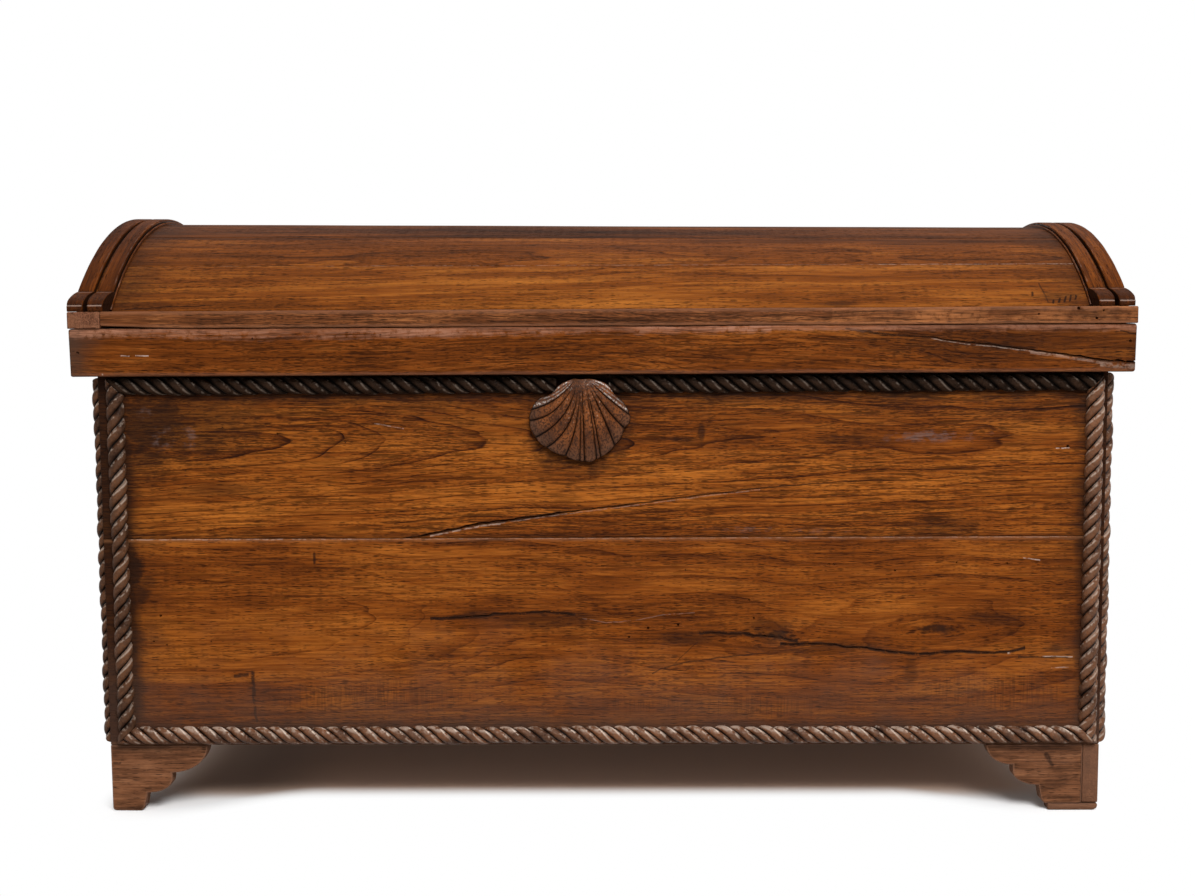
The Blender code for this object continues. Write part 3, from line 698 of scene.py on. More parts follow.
def pitCutter(bm, x, z, radius, face, depth=0.004):
    # Old nail or worm hole
    turned = Matrix.Translation((x, face + depth / 2 - 0.001, z)) @ Matrix.Rotation(math.pi / 2, 4, "X")
    bmesh.ops.create_cone(
        bm, cap_ends=True, segments=9, radius1=radius * 0.6, radius2=radius * 1.15, depth=depth + 0.002,
        matrix=turned,
    )


def carveFace(piece, face, cracks, pits, depth):
    for number, path in enumerate(cracks):
        bm = bmesh.new()
        crackCutter(bm, path, face, depth, number * 3.7 + 1.3)
        cutAway(piece, addObject("cutter", bm))
    if pits:
        bm = bmesh.new()
        for x, z, radius in pits:
            pitCutter(bm, x, z, radius, face)
        cutAway(piece, addObject("cutter", bm))


# Case walls: two planks each, the front and back ones rebated over the ends

frontLow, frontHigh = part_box("front_board_upper")
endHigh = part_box("left_end_board_upper")[1]
caseHalfWidth, caseHalfDepth = frontHigh.x, -frontLow.y
wallThickness = frontHigh.y - frontLow.y
seamHeight = frontLow.z
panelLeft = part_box("front_rope_left")[1].x
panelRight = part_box("front_rope_right")[0].x
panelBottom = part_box("front_rope_bottom")[1].z
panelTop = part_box("front_rope_top_left")[0].z

insideLimit = (caseHalfWidth - wallThickness + 0.001, caseHalfDepth - wallThickness + 0.001)
crackDepth = 0.01
boardEdge = {"radii": (0.001, 0.001, 0.001, 0.001), "end": 0.0014, "sway": 0.00035, "column": 0.028}

frontUpper = {
    "crack": [(-0.241, 0.3346, 0.0008), (-0.2055, 0.3408, 0.0026), (-0.185, 0.3449, 0.0036),
              (-0.145, 0.3527, 0.0034), (-0.121, 0.3556, 0.0026), (-0.049, 0.3656, 0.0017),
              (0.047, 0.3773, 0.0012), (0.118, 0.3867, 0.0009), (0.19, 0.3948, 0.0007),
              (0.25, 0.3992, 0.0004)],
    "pits": [(0.554, 0.443, 0.0022), (-0.452, 0.47, 0.001), (-0.386, 0.462, 0.0014),
             (-0.305, 0.452, 0.001), (-0.498, 0.418, 0.0009), (0.206, 0.455, 0.0011),
             (0.232, 0.449, 0.001)],
}
frontLower = {
    "crackLeft": [(-0.207, 0.2375, 0.0003), (-0.183, 0.239, 0.0009), (-0.1407, 0.2407, 0.0022),
                  (-0.1286, 0.2435, 0.001), (-0.102, 0.2436, 0.0008), (-0.0694, 0.2461, 0.0011),
                  (-0.032, 0.242, 0.0003)],
    "crackMiddle": [(0.118, 0.2185, 0.0003), (0.1316, 0.2197, 0.0011), (0.1665, 0.2181, 0.0008),
                    (0.193, 0.2154, 0.0015), (0.2146, 0.2135, 0.0014), (0.236, 0.2085, 0.0006)],
    "crackRight": [(0.2146, 0.2058, 0.0006), (0.222, 0.2056, 0.0026), (0.241, 0.2056, 0.0016),
                   (0.277, 0.2054, 0.001), (0.2927, 0.2014, 0.0022), (0.319, 0.2009, 0.0021),
                   (0.3396, 0.1967, 0.0018), (0.3709, 0.1932, 0.0012), (0.3972, 0.1937, 0.001),
                   (0.4308, 0.1963, 0.0012), (0.4644, 0.1944, 0.0012), (0.4907, 0.1957, 0.0009),
                   (0.5085, 0.2005, 0.0003)],
    "crackEdge": [(0.5004, 0.1892, 0.0003), (0.5399, 0.1889, 0.0007), (0.56, 0.1888, 0.0006)],
    "pits": [(0.0328, 0.2145, 0.0015), (0.0558, 0.2255, 0.0019), (0.0919, 0.2291, 0.0018),
             (0.1771, 0.2594, 0.0013), (0.1832, 0.2374, 0.0014), (0.2727, 0.3028, 0.0012),
             (0.279, 0.3026, 0.0013), (0.3516, 0.2948, 0.0013), (0.4254, 0.3044, 0.0013),
             (0.485, 0.3029, 0.0016), (-0.5335, 0.242, 0.0016), (-0.527, 0.2061, 0.0012),
             (-0.5429, 0.2104, 0.0013), (-0.4733, 0.21, 0.001), (-0.4015, 0.2131, 0.0009),
             (0.1008, 0.296, 0.0012)],
}


def alongCrack(path):
    return [(x, z) for x, z, width in path]


def lipOf(path, drop, first, last):
    # Painted highlight on the lip that runs just below a crack
    return [(x, z - drop) for x, z, width in path if first <= x <= last]


def frontUpperWood():
    panel = ((panelLeft, -1.0, seamHeight - 0.1), (panelRight, 1.0, panelTop))
    seam = ((-1.0, -1.0, seamHeight), (1.0, 1.0, 1.0))
    corner = ((panelLeft, -1.0, -1.0), (1.0, 1.0, panelTop))
    return makeOldWood(
        "upper front plank wood", seed=2.6, pith=(-0.205, 0.452), slope=0.085, bend=0.08, ring=0.0066,
        ringWaver=0.035, waver=0.02, line=1.05, density=0.9, dash=0.72, fibre=0.85, streak=0.58, level=0.71,
        # Borders: grime with painted shade along the ropes and under the lid, and a dark line at the seam
        borders=((*panel, 0.026, 0.92), (*corner, 0.11, 0.3), (*panel, 0.06, 0.4), (*seam, 0.008, 0.45)),
        stains=((-0.52, 0.48, 0.17, 0.075, 0.62), (-0.542, 0.478, 0.085, 0.06, 0.86),
                (-0.548, 0.455, 0.06, 0.07, 0.7), (0.405, 0.347, 0.06, 0.02, 0.4),
                (0.3, 0.452, 0.07, 0.01, 0.5), (0.12, 0.462, 0.006, 0.018, 0.7),
                # The wide stain about the shell is painted shade round it, with some dirt
                (0.098, 0.4535, 0.028, 0.004, 0.6), (-0.024, 0.47, 0.092, 0.082, 0.75),
                (-0.46, 0.395, 0.07, 0.012, 0.45), (0.49, 0.486, 0.1, 0.016, 0.35)),
        # The dark marks along the crack are dirt and painted shade in it
        marks=((alongCrack(frontUpper["crack"][:6]), 0.003, 0.85),
               (alongCrack(frontUpper["crack"][5:]), 0.0016, 0.65),
               (((0.25, 0.3992), (0.335, 0.405)), 0.0012, 0.4)),
        scratches=((((0.54, 0.4408), (0.556, 0.4412)), 0.001, 0.8),
                   (((-0.27, 0.474), (-0.235, 0.468)), 0.001, 0.35),
                   # The pale lines just below the crack are a painted highlight on its lower lip
                   (lipOf(frontUpper["crack"], 0.0026, -0.22, -0.1), 0.0015, 0.48),
                   (lipOf(frontUpper["crack"], 0.002, -0.13, 0.2), 0.001, 0.25)),
        blooms=((-0.524, 0.455, 0.015, 0.02, 0.8), (-0.546, 0.489, 0.012, 0.01, 0.7),
                (0.395, 0.4555, 0.07, 0.009, 0.75), (-0.492, 0.456, 0.01, 0.018, 0.55),
                (0.2, 0.344, 0.1, 0.005, 0.5)),
        bloom=0.02, bare=insideLimit,
    )


def frontLowerWood():
    panel = ((panelLeft, -1.0, panelBottom), (panelRight, 1.0, seamHeight + 0.1))
    base = ((-1.0, -1.0, panelBottom), (1.0, 1.0, 1.0))
    tMark = ((-0.447, 0.1676), (-0.429, 0.1688)), ((-0.4239, 0.1717), (-0.4225, 0.14), (-0.4208, 0.1113))
    return makeOldWood(
        "lower front plank wood", seed=7.9, pith=(-0.1, 0.225), slope=0.03, ring=0.0065, ringWaver=0.05,
        waver=0.016, line=0.55, streak=0.52, fibre=0.72, density=0.6, dash=0.42, level=0.66, worn=0.3,
        wornColour=(0.27, 0.115, 0.05), blotch=0.85, blotchScale=(5.0, 15.0, 15.0),
        knots=((0.4016, 0.2234, 0.055, 0.016), (0.205, 0.217, 0.06, 0.02)),
        # Borders: grime with painted shade beside the ropes
        borders=((*panel, 0.018, 0.9), (*panel, 0.06, 0.4), (*base, 0.034, 0.38)),
        dust=((*base, 0.13, 0.4),), bloomColour=(0.1, 0.056, 0.04),
        saw=((-0.27, 0.133, 0.19, 0.034, 0.34), (0.48, 0.14, 0.13, 0.036, 0.32),
             (0.15, 0.127, 0.26, 0.022, 0.38)),
        stains=((-0.568, 0.3, 0.022, 0.044, 0.92), (-0.561, 0.268, 0.024, 0.026, 0.8),
                (-0.548, 0.284, 0.016, 0.012, 0.6), (0.372, 0.172, 0.012, 0.02, 0.45),
                (-0.06, 0.235, 0.09, 0.016, 0.5), (0.1, 0.214, 0.05, 0.01, 0.5),
                (0.2, 0.222, 0.035, 0.012, 0.5), (0.47, 0.236, 0.05, 0.012, 0.4),
                (0.545, 0.199, 0.016, 0.008, 0.6), (-0.15, 0.242, 0.03, 0.008, 0.6),
                (0.28, 0.203, 0.09, 0.008, 0.5)),
        # The dark marks along the cracks are dirt and painted shade in them
        marks=((alongCrack(frontLower["crackLeft"]), 0.0032, 0.9),
               (alongCrack(frontLower["crackMiddle"]), 0.004, 0.9),
               (alongCrack(frontLower["crackRight"]), 0.0034, 0.92),
               (alongCrack(frontLower["crackEdge"]), 0.002, 0.8),
               (tMark[0], 0.0034, 0.75), (tMark[1], 0.0034, 0.85),
               (((0.0604, 0.1692), (0.0725, 0.176), (0.0991, 0.1827), (0.1401, 0.1895), (0.2014, 0.1949)),
                0.0014, 0.7),
               (((0.0882, 0.1828), (0.1159, 0.2087)), 0.0012, 0.65),
               (((-0.3452, 0.3165), (-0.3448, 0.3065)), 0.0024, 0.8)),
        scratches=((((-0.0237, 0.2379), (0.0052, 0.2322), (0.0401, 0.2348), (0.075, 0.2416), (0.112, 0.2443)),
                    0.0009, 0.16),
                   (((0.504, 0.3096), (0.5242, 0.3068)), 0.001, 0.7),
                   (((0.53, 0.1897), (0.566, 0.1892)), 0.001, 0.7),
                   (((0.541, 0.1755), (0.561, 0.1765)), 0.001, 0.6),
                   (((0.488, 0.1935), (0.4925, 0.194)), 0.0016, 0.8),
                   # The pale lines just below the seam are a painted highlight on the lower plank's top edge
                   (((-0.566, seamHeight - 0.001), (-0.3, seamHeight - 0.0012)), 0.0011, 0.38),
                   (((-0.3, seamHeight - 0.0012), (0.56, seamHeight - 0.001)), 0.0009, 0.2)),
        bloom=0.02, bare=insideLimit,
    )


def dressLongWall(name, side, materials, carvings):
    pastEnd, pastFace = 0.05, 0.02  # how far the rebates' cutters reach beyond the plank
    for level in ("upper", "lower"):
        node = f"{name}_board_{level}"
        low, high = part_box(node)
        if level == "lower":
            high.z = seamHeight - fit
        edge = dict(boardEdge, seed=side * 4.3 + (2.2 if level == "upper" else 0.0))
        piece = wornBar(f"{node}_dressed", low, high, 0, edge)
        for end in (-1, 1):
            inner, outer = end * (caseHalfWidth - wallThickness - fit), end * (caseHalfWidth + pastEnd)
            shoulder, behind = side * (endHigh.y + fit), side * (caseHalfDepth - wallThickness - pastFace)
            cutAway(piece, blockCutter(
                (min(inner, outer), min(shoulder, behind), low.z - pastFace),
                (max(inner, outer), max(shoulder, behind), high.z + pastFace),
            ))
        if level in carvings:
            cracks = [path for key, path in carvings[level].items() if key.startswith("crack")]
            carveFace(piece, low.y, cracks, carvings[level]["pits"], crackDepth)
        finishPiece(piece, node, materials[level], 0.0 if side < 0 else -0.04)


def dressEndWall(name, material, tone):
    for level in ("upper", "lower"):
        node = f"{name}_end_board_{level}"
        low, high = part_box(node)
        if level == "lower":
            high.z = seamHeight - fit
        edge = dict(boardEdge, seed=tone * 90 + (5.1 if level == "upper" else 1.7))
        piece = wornBar(f"{node}_dressed", low, high, 1, edge)
        finishPiece(piece, node, material, tone + (0.02 if level == "upper" else -0.02))


def dressBottom(material):
    for name, tone in (("front", 0.02), ("rear", -0.03)):
        node = f"bottom_board_{name}"
        edge = dict(boardEdge, seed=11.0 + 30 * tone, sway=0.0001)
        finishPiece(wornBar(f"{node}_dressed", *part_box(node), 0, edge), node, material, tone)


frontWood = {"upper": frontUpperWood(), "lower": frontLowerWood()}
backPlank = makeOldWood(
    "back wall wood", seed=12.4, pith=(0.19, 0.3), slope=0.06, ring=0.0095, level=0.5, roughness=0.55,
    bloom=0.12, density=0.7, bare=insideLimit,
    borders=(((-0.6, -1.0, 0.082), (0.6, 1.0, 0.532), 0.03, 0.5),),
)
endWood = makeOldWood(
    "end wall wood", grain="y", seed=21.7, pith=(0.44, 0.33), slope=0.09, ring=0.009, level=0.6,
    bare=insideLimit, borders=(((-0.245, -1.0, 0.106), (0.245, 1.0, 0.508), 0.016, 0.6),),
)
floorWood = makeOldWood("bottom plank wood", seed=30.2, bare=(2.0, 2.0), roughness=0.6)
dressLongWall("front", -1, frontWood, {"upper": frontUpper, "lower": frontLower})
dressLongWall("back", 1, {"upper": backPlank, "lower": backPlank}, {})
dressEndWall("left", endWood, 0.013)
dressEndWall("right", endWood, -0.017)
dressBottom(floorWood)
print("trunk: case walls dressed")


# Bracket feet

foot = {
    "bracket": 0.019, "lowerRun": 0.031, "lowerRise": 0.0165, "quirk": 0.0085, "chamfer": 0.004,
    "roundSteps": 10, "bevel": 0.0011, "ring": 0.0018, "sway": 0.0005, "corner": 0.0036,
    "sole": {"bevel": 0.0016, "ring": 0.003, "sway": 0.0003, "toe": 0.007, "steps": (0.0075, 0.005),
             "lip": 0.0015},
    "narrow": {"ankle": 0.043, "ankleHeight": 0.022},
    "wide": {"ankle": 0.072, "ankleHeight": 0.031},
    "plain": {"toe": 0.045, "toeHeight": 0.02},
}


def quarterRound(start, run, rise):
    steps = foot["roundSteps"]
    turns = [math.pi / 2 * i / steps for i in range(steps + 1)]
    return [(start[0] + run * math.sin(turn), start[1] + rise * (1 - math.cos(turn))) for turn in turns]


def bracketOutline(begin, length, floor, top, kind):
    # Run from the case's corner and height of each point of a bracket's face
    shape = foot[kind]
    if kind == "plain":
        toe, toeHeight = shape["toe"], shape["toeHeight"]
        return [(begin, floor), (toe, floor), (toe, toeHeight), (length, top), (begin, top)]
    ankle, height = shape["ankle"], shape["ankleHeight"]
    step, stepHeight = ankle + foot["lowerRun"], height + foot["lowerRise"] + foot["quirk"]
    chamfer = foot["chamfer"]
    soft = foot["corner"]
    toe = [(begin, floor + soft), (begin + 0.3 * soft, floor + 0.3 * soft), (begin + soft, floor)]
    toe += [(ankle - 2 * chamfer, floor), (ankle - chamfer, floor + chamfer)]
    lower = quarterRound((ankle, height), foot["lowerRun"], foot["lowerRise"])
    upper = quarterRound((step, stepHeight), length - step, top - stepHeight)
    return toe + lower + upper + [(begin, top)]


def softPrism(name, points, along, edge, seed):
    # Extruded outline with rubbed edges: rounded, ringed inside each big face, its outline shaken slightly
    bm = bmesh.new()
    face = bm.faces.new([bm.verts.new(point) for point in points])
    grown = bmesh.ops.extrude_face_region(bm, geom=[face])
    moved = [item for item in grown["geom"] if isinstance(item, bmesh.types.BMVert)]
    bmesh.ops.translate(bm, verts=moved, vec=along)
    bmesh.ops.recalc_face_normals(bm, faces=bm.faces)
    sharp = [side for side in bm.edges if side.calc_face_angle(0.0) > math.radians(30)]
    bmesh.ops.bevel(
        bm, geom=sharp, offset=edge["bevel"], segments=3, profile=0.5, affect="EDGES", clamp_overlap=True
    )
    wear = bm.verts.layers.float.new("wear")
    for vertex in bm.verts:
        vertex[wear] = 1.0
    big = sorted(bm.faces, key=lambda item: item.calc_area())[-2:]
    old = set(bm.verts)
    bmesh.ops.inset_individual(bm, faces=big, thickness=edge["ring"], use_even_offset=True)
    for vertex in bm.verts:
        if vertex not in old:
            vertex[wear] = 0.0
        drift = noise.noise_vector(vertex.co * 45.0 + Vector((seed, 0.0, 0.0))) * edge["sway"]
        vertex.co += drift - drift.project(Vector(along))
        vertex.co.z = max(0.0, vertex.co.z)
    return addObject(name, bm)


def dressBracket(node, kind, end, side, along, floor, material, tone):
    # end is -1 at the left, side is -1 at the front; along is the axis that the bracket runs on
    low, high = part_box(node)
    corner = end * caseHalfWidth if along == 0 else side * caseHalfDepth
    sign = end if along == 0 else side
    outer, inner = (high, low) if sign > 0 else (low, high)
    begin, length = abs(corner - outer[along]), abs(corner - inner[along])
    outline = bracketOutline(begin, length, floor, high.z, kind)
    if along == 0:
        face = side * caseHalfDepth
        points = [(end * (caseHalfWidth - run), face, height) for run, height in outline]
        push = (0.0, -side * foot["bracket"], 0.0)
    else:
        face = end * caseHalfWidth
        points = [(face, side * (caseHalfDepth - run), height) for run, height in outline]
        push = (-end * foot["bracket"], 0.0, 0.0)
    piece = softPrism(f"{node}_dressed", points, push, foot, 3 + 50 * tone)
    finishPiece(piece, node, material, tone)


def dressSole(material):
    node = "front_right_foot_sole"
    low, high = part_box(node)
    thick, sole = foot["bracket"], foot["sole"]
    points = [
        (high.x, low.y, low.z), (high.x, high.y, low.z), (high.x - thick, high.y, low.z),
        (high.x - thick, low.y + thick, low.z), (low.x, low.y + thick, low.z), (low.x, low.y, low.z),
        *[(high.x - step, low.y, low.z) for step in sole["steps"]],
    ]
    piece = softPrism(f"{node}_dressed", points, (0.0, 0.0, high.z - low.z), sole, 8.0)
    toe = sole["toe"]
    for vertex in piece.data.vertices:
        past = min(toe, vertex.co.x - (high.x - toe))
        if past > 0:
            worn = toe - math.sqrt(toe ** 2 - past ** 2)
            vertex.co.z = max(vertex.co.z, min(worn, high.z - sole["lip"]))
    finishPiece(piece, node, material, -0.03)


footLook = {
    "pith": (-0.2, 0.02), "slope": 0.02, "ring": 0.0035, "waver": 0.012, "level": 0.56, "bloom": 0.16,
    "worn": 0.6, "wornColour": (0.2, 0.095, 0.055), "roughness": 0.5, "gloss": 0.08, "line": 0.45,
    "cell": 0.12, "dash": 0.3, "density": 0.3, "blotch": 1.4, "fibre": 0.9, "streak": 1.1,
    "blotchScale": (14.0, 40.0, 40.0),
    "tones": ((0.0, (0.018, 0.008, 0.004)), (0.32, (0.078, 0.03, 0.013)),
              (0.62, (0.185, 0.072, 0.031)), (1.0, (0.32, 0.14, 0.066))),
}
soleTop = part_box("front_right_foot_side")[0].z
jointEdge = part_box("front_right_foot_front")[1].x - 0.0004
footWoodX = makeOldWood(
    # Borders: painted shade under the case at the top of the feet, and darker towards the floor
    "foot wood", seed=40.1, borders=(((-1.0, -1.0, -0.2), (1.0, 1.0, 0.081), 0.016, 0.72),
                                     ((-1.0, -1.0, 0.0), (1.0, 1.0, 1.0), 0.014, 0.45)),
    marks=((((0.5365, 0.0695), (0.5405, 0.063)), 0.0045, 0.8),
           (((0.5415, 0.061), (0.544, 0.0555)), 0.0035, 0.7),
           (((-0.598, 0.0597), (-0.588, 0.06)), 0.0022, 0.7),
           (((0.52, soleTop), (0.62, soleTop)), 0.002, 0.9),
           (((jointEdge, soleTop), (jointEdge, 0.081)), 0.0026, 0.9)), **footLook,
)
sideLook = dict(footLook, pith=(-0.52, 0.02), density=0.7)
footWoodY = makeOldWood("foot side wood", grain="y", seed=44.3, **sideLook)
dressBracket("front_left_foot_front", "narrow", -1, -1, 0, 0.0, footWoodX, 0.01)
dressBracket("front_left_foot_side", "narrow", -1, -1, 1, 0.0, footWoodY, 0.0)
dressBracket("front_right_foot_front", "wide", 1, -1, 0, soleTop, footWoodX, 0.025)
dressBracket("front_right_foot_side", "narrow", 1, -1, 1, soleTop, footWoodY, 0.02)
dressSole(footWoodX)
for end, name in ((-1, "left"), (1, "right")):
    dressBracket(f"rear_{name}_foot_side", "narrow", end, 1, 1, 0.0, footWoodY, 0.03 * end)
    dressBracket(f"rear_{name}_foot_back", "plain", end, 1, 0, 0.0, footWoodX, -0.02 * end)
print("trunk: feet dressed")


# Rope mouldings, one geometry tree for all thirteen lengths

rope = {
    "pitch": 0.0175, "lead": 0.03, "leadUpright": 0.026, "groove": 0.44, "stepsPerStrand": 18,
    "stepsAround": 22, "wander": 0.0014, "sink": 0.0004, "extra": 0.03,
    "pitches": {"front_rope_top_left": 0.0181, "front_rope_top_right": 0.0178, "front_rope_left": 0.0181,
                "front_rope_right": 0.0165},
}


def startTree(name, kinds):
    # A geometry tree, the sockets of its named inputs and their identifiers
    tree = bpy.data.node_groups.new(name, "GeometryNodeTree")
    tree.is_modifier = True
    tree.interface.new_socket(name="Geometry", in_out="INPUT", socket_type="NodeSocketGeometry")
    identifiers = {}
    for kind, labels in kinds.items():
        for label in labels.split(", "):
            made = tree.interface.new_socket(name=label, in_out="INPUT", socket_type="NodeSocket" + kind)
            identifiers[label] = made.identifier
    tree.interface.new_socket(name="Geometry", in_out="OUTPUT", socket_type="NodeSocketGeometry")
    return tree, tree.nodes.new("NodeGroupInput").outputs, identifiers


def endTree(geometry, material):
    real = joinNode("GeometryNodeRealizeInstances", {0: geometry}).outputs[0]
    painted = joinNode("GeometryNodeSetMaterial", {0: real, "Material": material}).outputs[0]
    feed(geometry.id_data.nodes.new("NodeGroupOutput").inputs[0], painted)


def makeRopeTree():
    tree, given, identifiers = startTree("rope moulding", {
        "Float": "Length, Width, Height, Pitch, Lead, Groove, Wander", "Int": "Steps, Around, Seed",
        "Material": "Material",
    })

    def measuredLine(end, count, label, measure):
        line = addNode(tree, "GeometryNodeCurvePrimitiveLine", {"End": end}).outputs[0]
        even = joinNode("GeometryNodeResampleCurve", {"Curve": line, "Count": count}).outputs[0]
        kept = tree.nodes.new("GeometryNodeCaptureAttribute")
        kept.capture_items.new("FLOAT", label)
        feed(kept.inputs[0], even)
        feed(kept.inputs[1], addNode(tree, "GeometryNodeSplineParameter").outputs[measure])
        return kept.outputs

    path = measuredLine(join(given["Length"], 0.0, 0.0), given["Steps"], "Along", "Length")
    across = measuredLine((1.0, 0.0, 0.0), given["Around"], "Turn", "Factor")
    turn = times(across["Turn"], math.pi)
    cosine, sine = calc("COSINE", turn), calc("SINE", turn)
    bent = {0: across[0], "Position": join(cosine, sine, 0.0)}
    arch = joinNode("GeometryNodeSetPosition", bent).outputs[0]
    ring = joinNode("GeometryNodeSetSplineCyclic", {0: arch, "Cyclic": True}).outputs[0]
    sweep = {"Curve": path[0], "Profile Curve": ring, "Fill Caps": True}
    solid = joinNode("GeometryNodeCurveToMesh", sweep).outputs[0]

    # Every column of the mesh follows one strand, so the grooves stay crisp
    strand = calc("DIVIDE", path["Along"], given["Pitch"])
    number = calc("FLOOR", strand)
    inStrand = calc("FRACT", strand)
    centred = calc("ABSOLUTE", scaled(inStrand, 2.0, -1.0))
    lobe = calc("POWER", minus(1.0, calc("POWER", centred, 2.7)), 0.56)
    sizes = {2: 0.9, 3: 1.06, "ID": number, "Seed": given["Seed"]}
    size = joinNode("FunctionNodeRandomValue", sizes, data_type="FLOAT").outputs[1]
    full = times(size, minus(1.0, times(given["Groove"], minus(1.0, lobe))))
    slant = times(given["Lead"], minus(across["Turn"], 0.5))
    spot = join(times(number, 0.7), given["Seed"], across["Turn"])
    shake = joinNode("ShaderNodeTexNoise", {"Vector": spot, "Scale": 1.9}).outputs["Fac"]
    shift = times(given["Wander"], scaled(shake, 2.0, -1.0))
    along = addUp(path["Along"], slant, shift)
    half = times(given["Width"], 0.5)
    side = times(cosine, full, half)
    proud = times(calc("POWER", sine, 0.85), given["Height"])
    placed = join(along, minus(half, side), times(proud, full))
    shaped = joinNode("GeometryNodeSetPosition", {0: solid, "Position": placed}).outputs[0]
    for label, value in (("crest", lobe), ("ply", inStrand)):
        inputs = {0: shaped, "Name": label, "Value": value}
        shaped = joinNode("GeometryNodeStoreNamedAttribute", inputs).outputs[0]
    endTree(shaped, given["Material"])
    return tree, identifiers


def runTree(name, tree, identifiers, values, mesh=None):
    # Runs a geometry tree and returns its plain mesh
    helper = bpy.data.objects.new(name, mesh or bpy.data.meshes.new(name))
    bpy.context.scene.collection.objects.link(helper)
    made = helper.modifiers.new("tree", "NODES")
    made.node_group = tree
    for label, value in values.items():
        made[identifiers[label]] = value
    graph = bpy.context.evaluated_depsgraph_get()
    result = bpy.data.meshes.new_from_object(helper.evaluated_get(graph))
    bpy.data.objects.remove(helper, do_unlink=True)
    return result


def dressRope(node, along, across, out, mitres, material, seed, back=0.0, reach=0.0, slide=(0.0, 0.0, 0.0)):
    # Axes are unit vectors: along the rope, from its outer edge inwards, and out from the wall
    along, across, out = Vector(along), Vector(across), Vector(out)
    low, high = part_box(node)
    spans = [abs((high - low).dot(axis)) for axis in (along, across, out)]
    inward = along + across + out
    origin = Vector([low[axis] if inward[axis] > 0 else high[axis] for axis in range(3)])
    # The old ropes were nailed on a little beside their true places
    origin += Vector(slide) - along * back
    spans[0] += reach + back
    up = Vector((0.0, 0.0, 1.0))
    right = (-out).cross(up)
    lay = right - up if abs(along.z) < 0.5 else right + up
    hand = 1.0 if lay.dot(along) * lay.dot(across) > 0 else -1.0
    length = spans[0] + 2 * rope["extra"]
    pitch = rope["pitches"].get(node, rope["pitch"])
    lead = rope["lead"] if abs(along.z) < 0.5 else rope["leadUpright"]
    mesh = runTree(node + "_strands", ropeTree, ropeSockets, {
        "Length": length, "Width": spans[1], "Height": spans[2] + rope["sink"], "Pitch": pitch,
        "Lead": hand * lead, "Groove": rope["groove"], "Wander": rope["wander"],
        "Steps": round(length / pitch * rope["stepsPerStrand"]), "Around": rope["stepsAround"],
        "Seed": seed, "Material": material,
    })
    bm = bmesh.new()
    bm.from_mesh(mesh)
    bmesh.ops.translate(bm, verts=bm.verts, vec=(-rope["extra"], 0.0, -rope["sink"]))
    for end, way, mitre in ((0.0, -1.0, mitres[0]), (spans[0], 1.0, mitres[1])):
        cut = bmesh.ops.bisect_plane(
            bm, geom=bm.verts[:] + bm.edges[:] + bm.faces[:], plane_co=(end, 0.0, 0.0),
            plane_no=(way, float(mitre), 0.0), clear_outer=True,
        )
        opened = [item for item in cut["geom_cut"] if isinstance(item, bmesh.types.BMEdge)]
        bmesh.ops.edgeloop_fill(bm, edges=opened)
    turned = Matrix((along, across, out)).transposed().to_4x4()
    bmesh.ops.transform(bm, matrix=Matrix.Translation(origin) @ turned, verts=bm.verts)
    finishPiece(addObject(node + "_dressed", bm), node, material, 0.0, 70)


# The left side and under lid looks are painted shade: darker copies of the open look, for the ropes on the
# trunk's left and those in the lid's shadow; glint and upper set the painted highlight
ropeLooks = {
    "open": {
        "dark": (0.034, 0.0122, 0.0052), "light": (0.178, 0.066, 0.026), "rubbed": 0.45, "glint": 1.0,
        "upper": 0.4, "groove": (0.78, 0.3), "gloss": 0.13, "roughness": 0.3,
    },
    "left side": {
        "dark": (0.02, 0.0075, 0.0034), "light": (0.122, 0.046, 0.0175), "rubbed": 0.3, "glint": 0.9,
        "upper": 0.5, "groove": (0.82, 0.34), "gloss": 0.08, "roughness": 0.32,
    },
    "under lid": {
        "dark": (0.006, 0.003, 0.0016), "light": (0.021, 0.0098, 0.0048), "rubbed": 0.1, "glint": 0.34,
        "upper": 0.24, "groove": (0.88, 0.44), "gloss": 0.04, "roughness": 0.4,
    },
}
# pale is the painted highlight colour and groove the painted shade colour of the grooves
ropeColours = {
    "rubbed": (0.2, 0.104, 0.062), "pale": (0.54, 0.44, 0.36), "groove": (0.004, 0.0025, 0.0018),
}


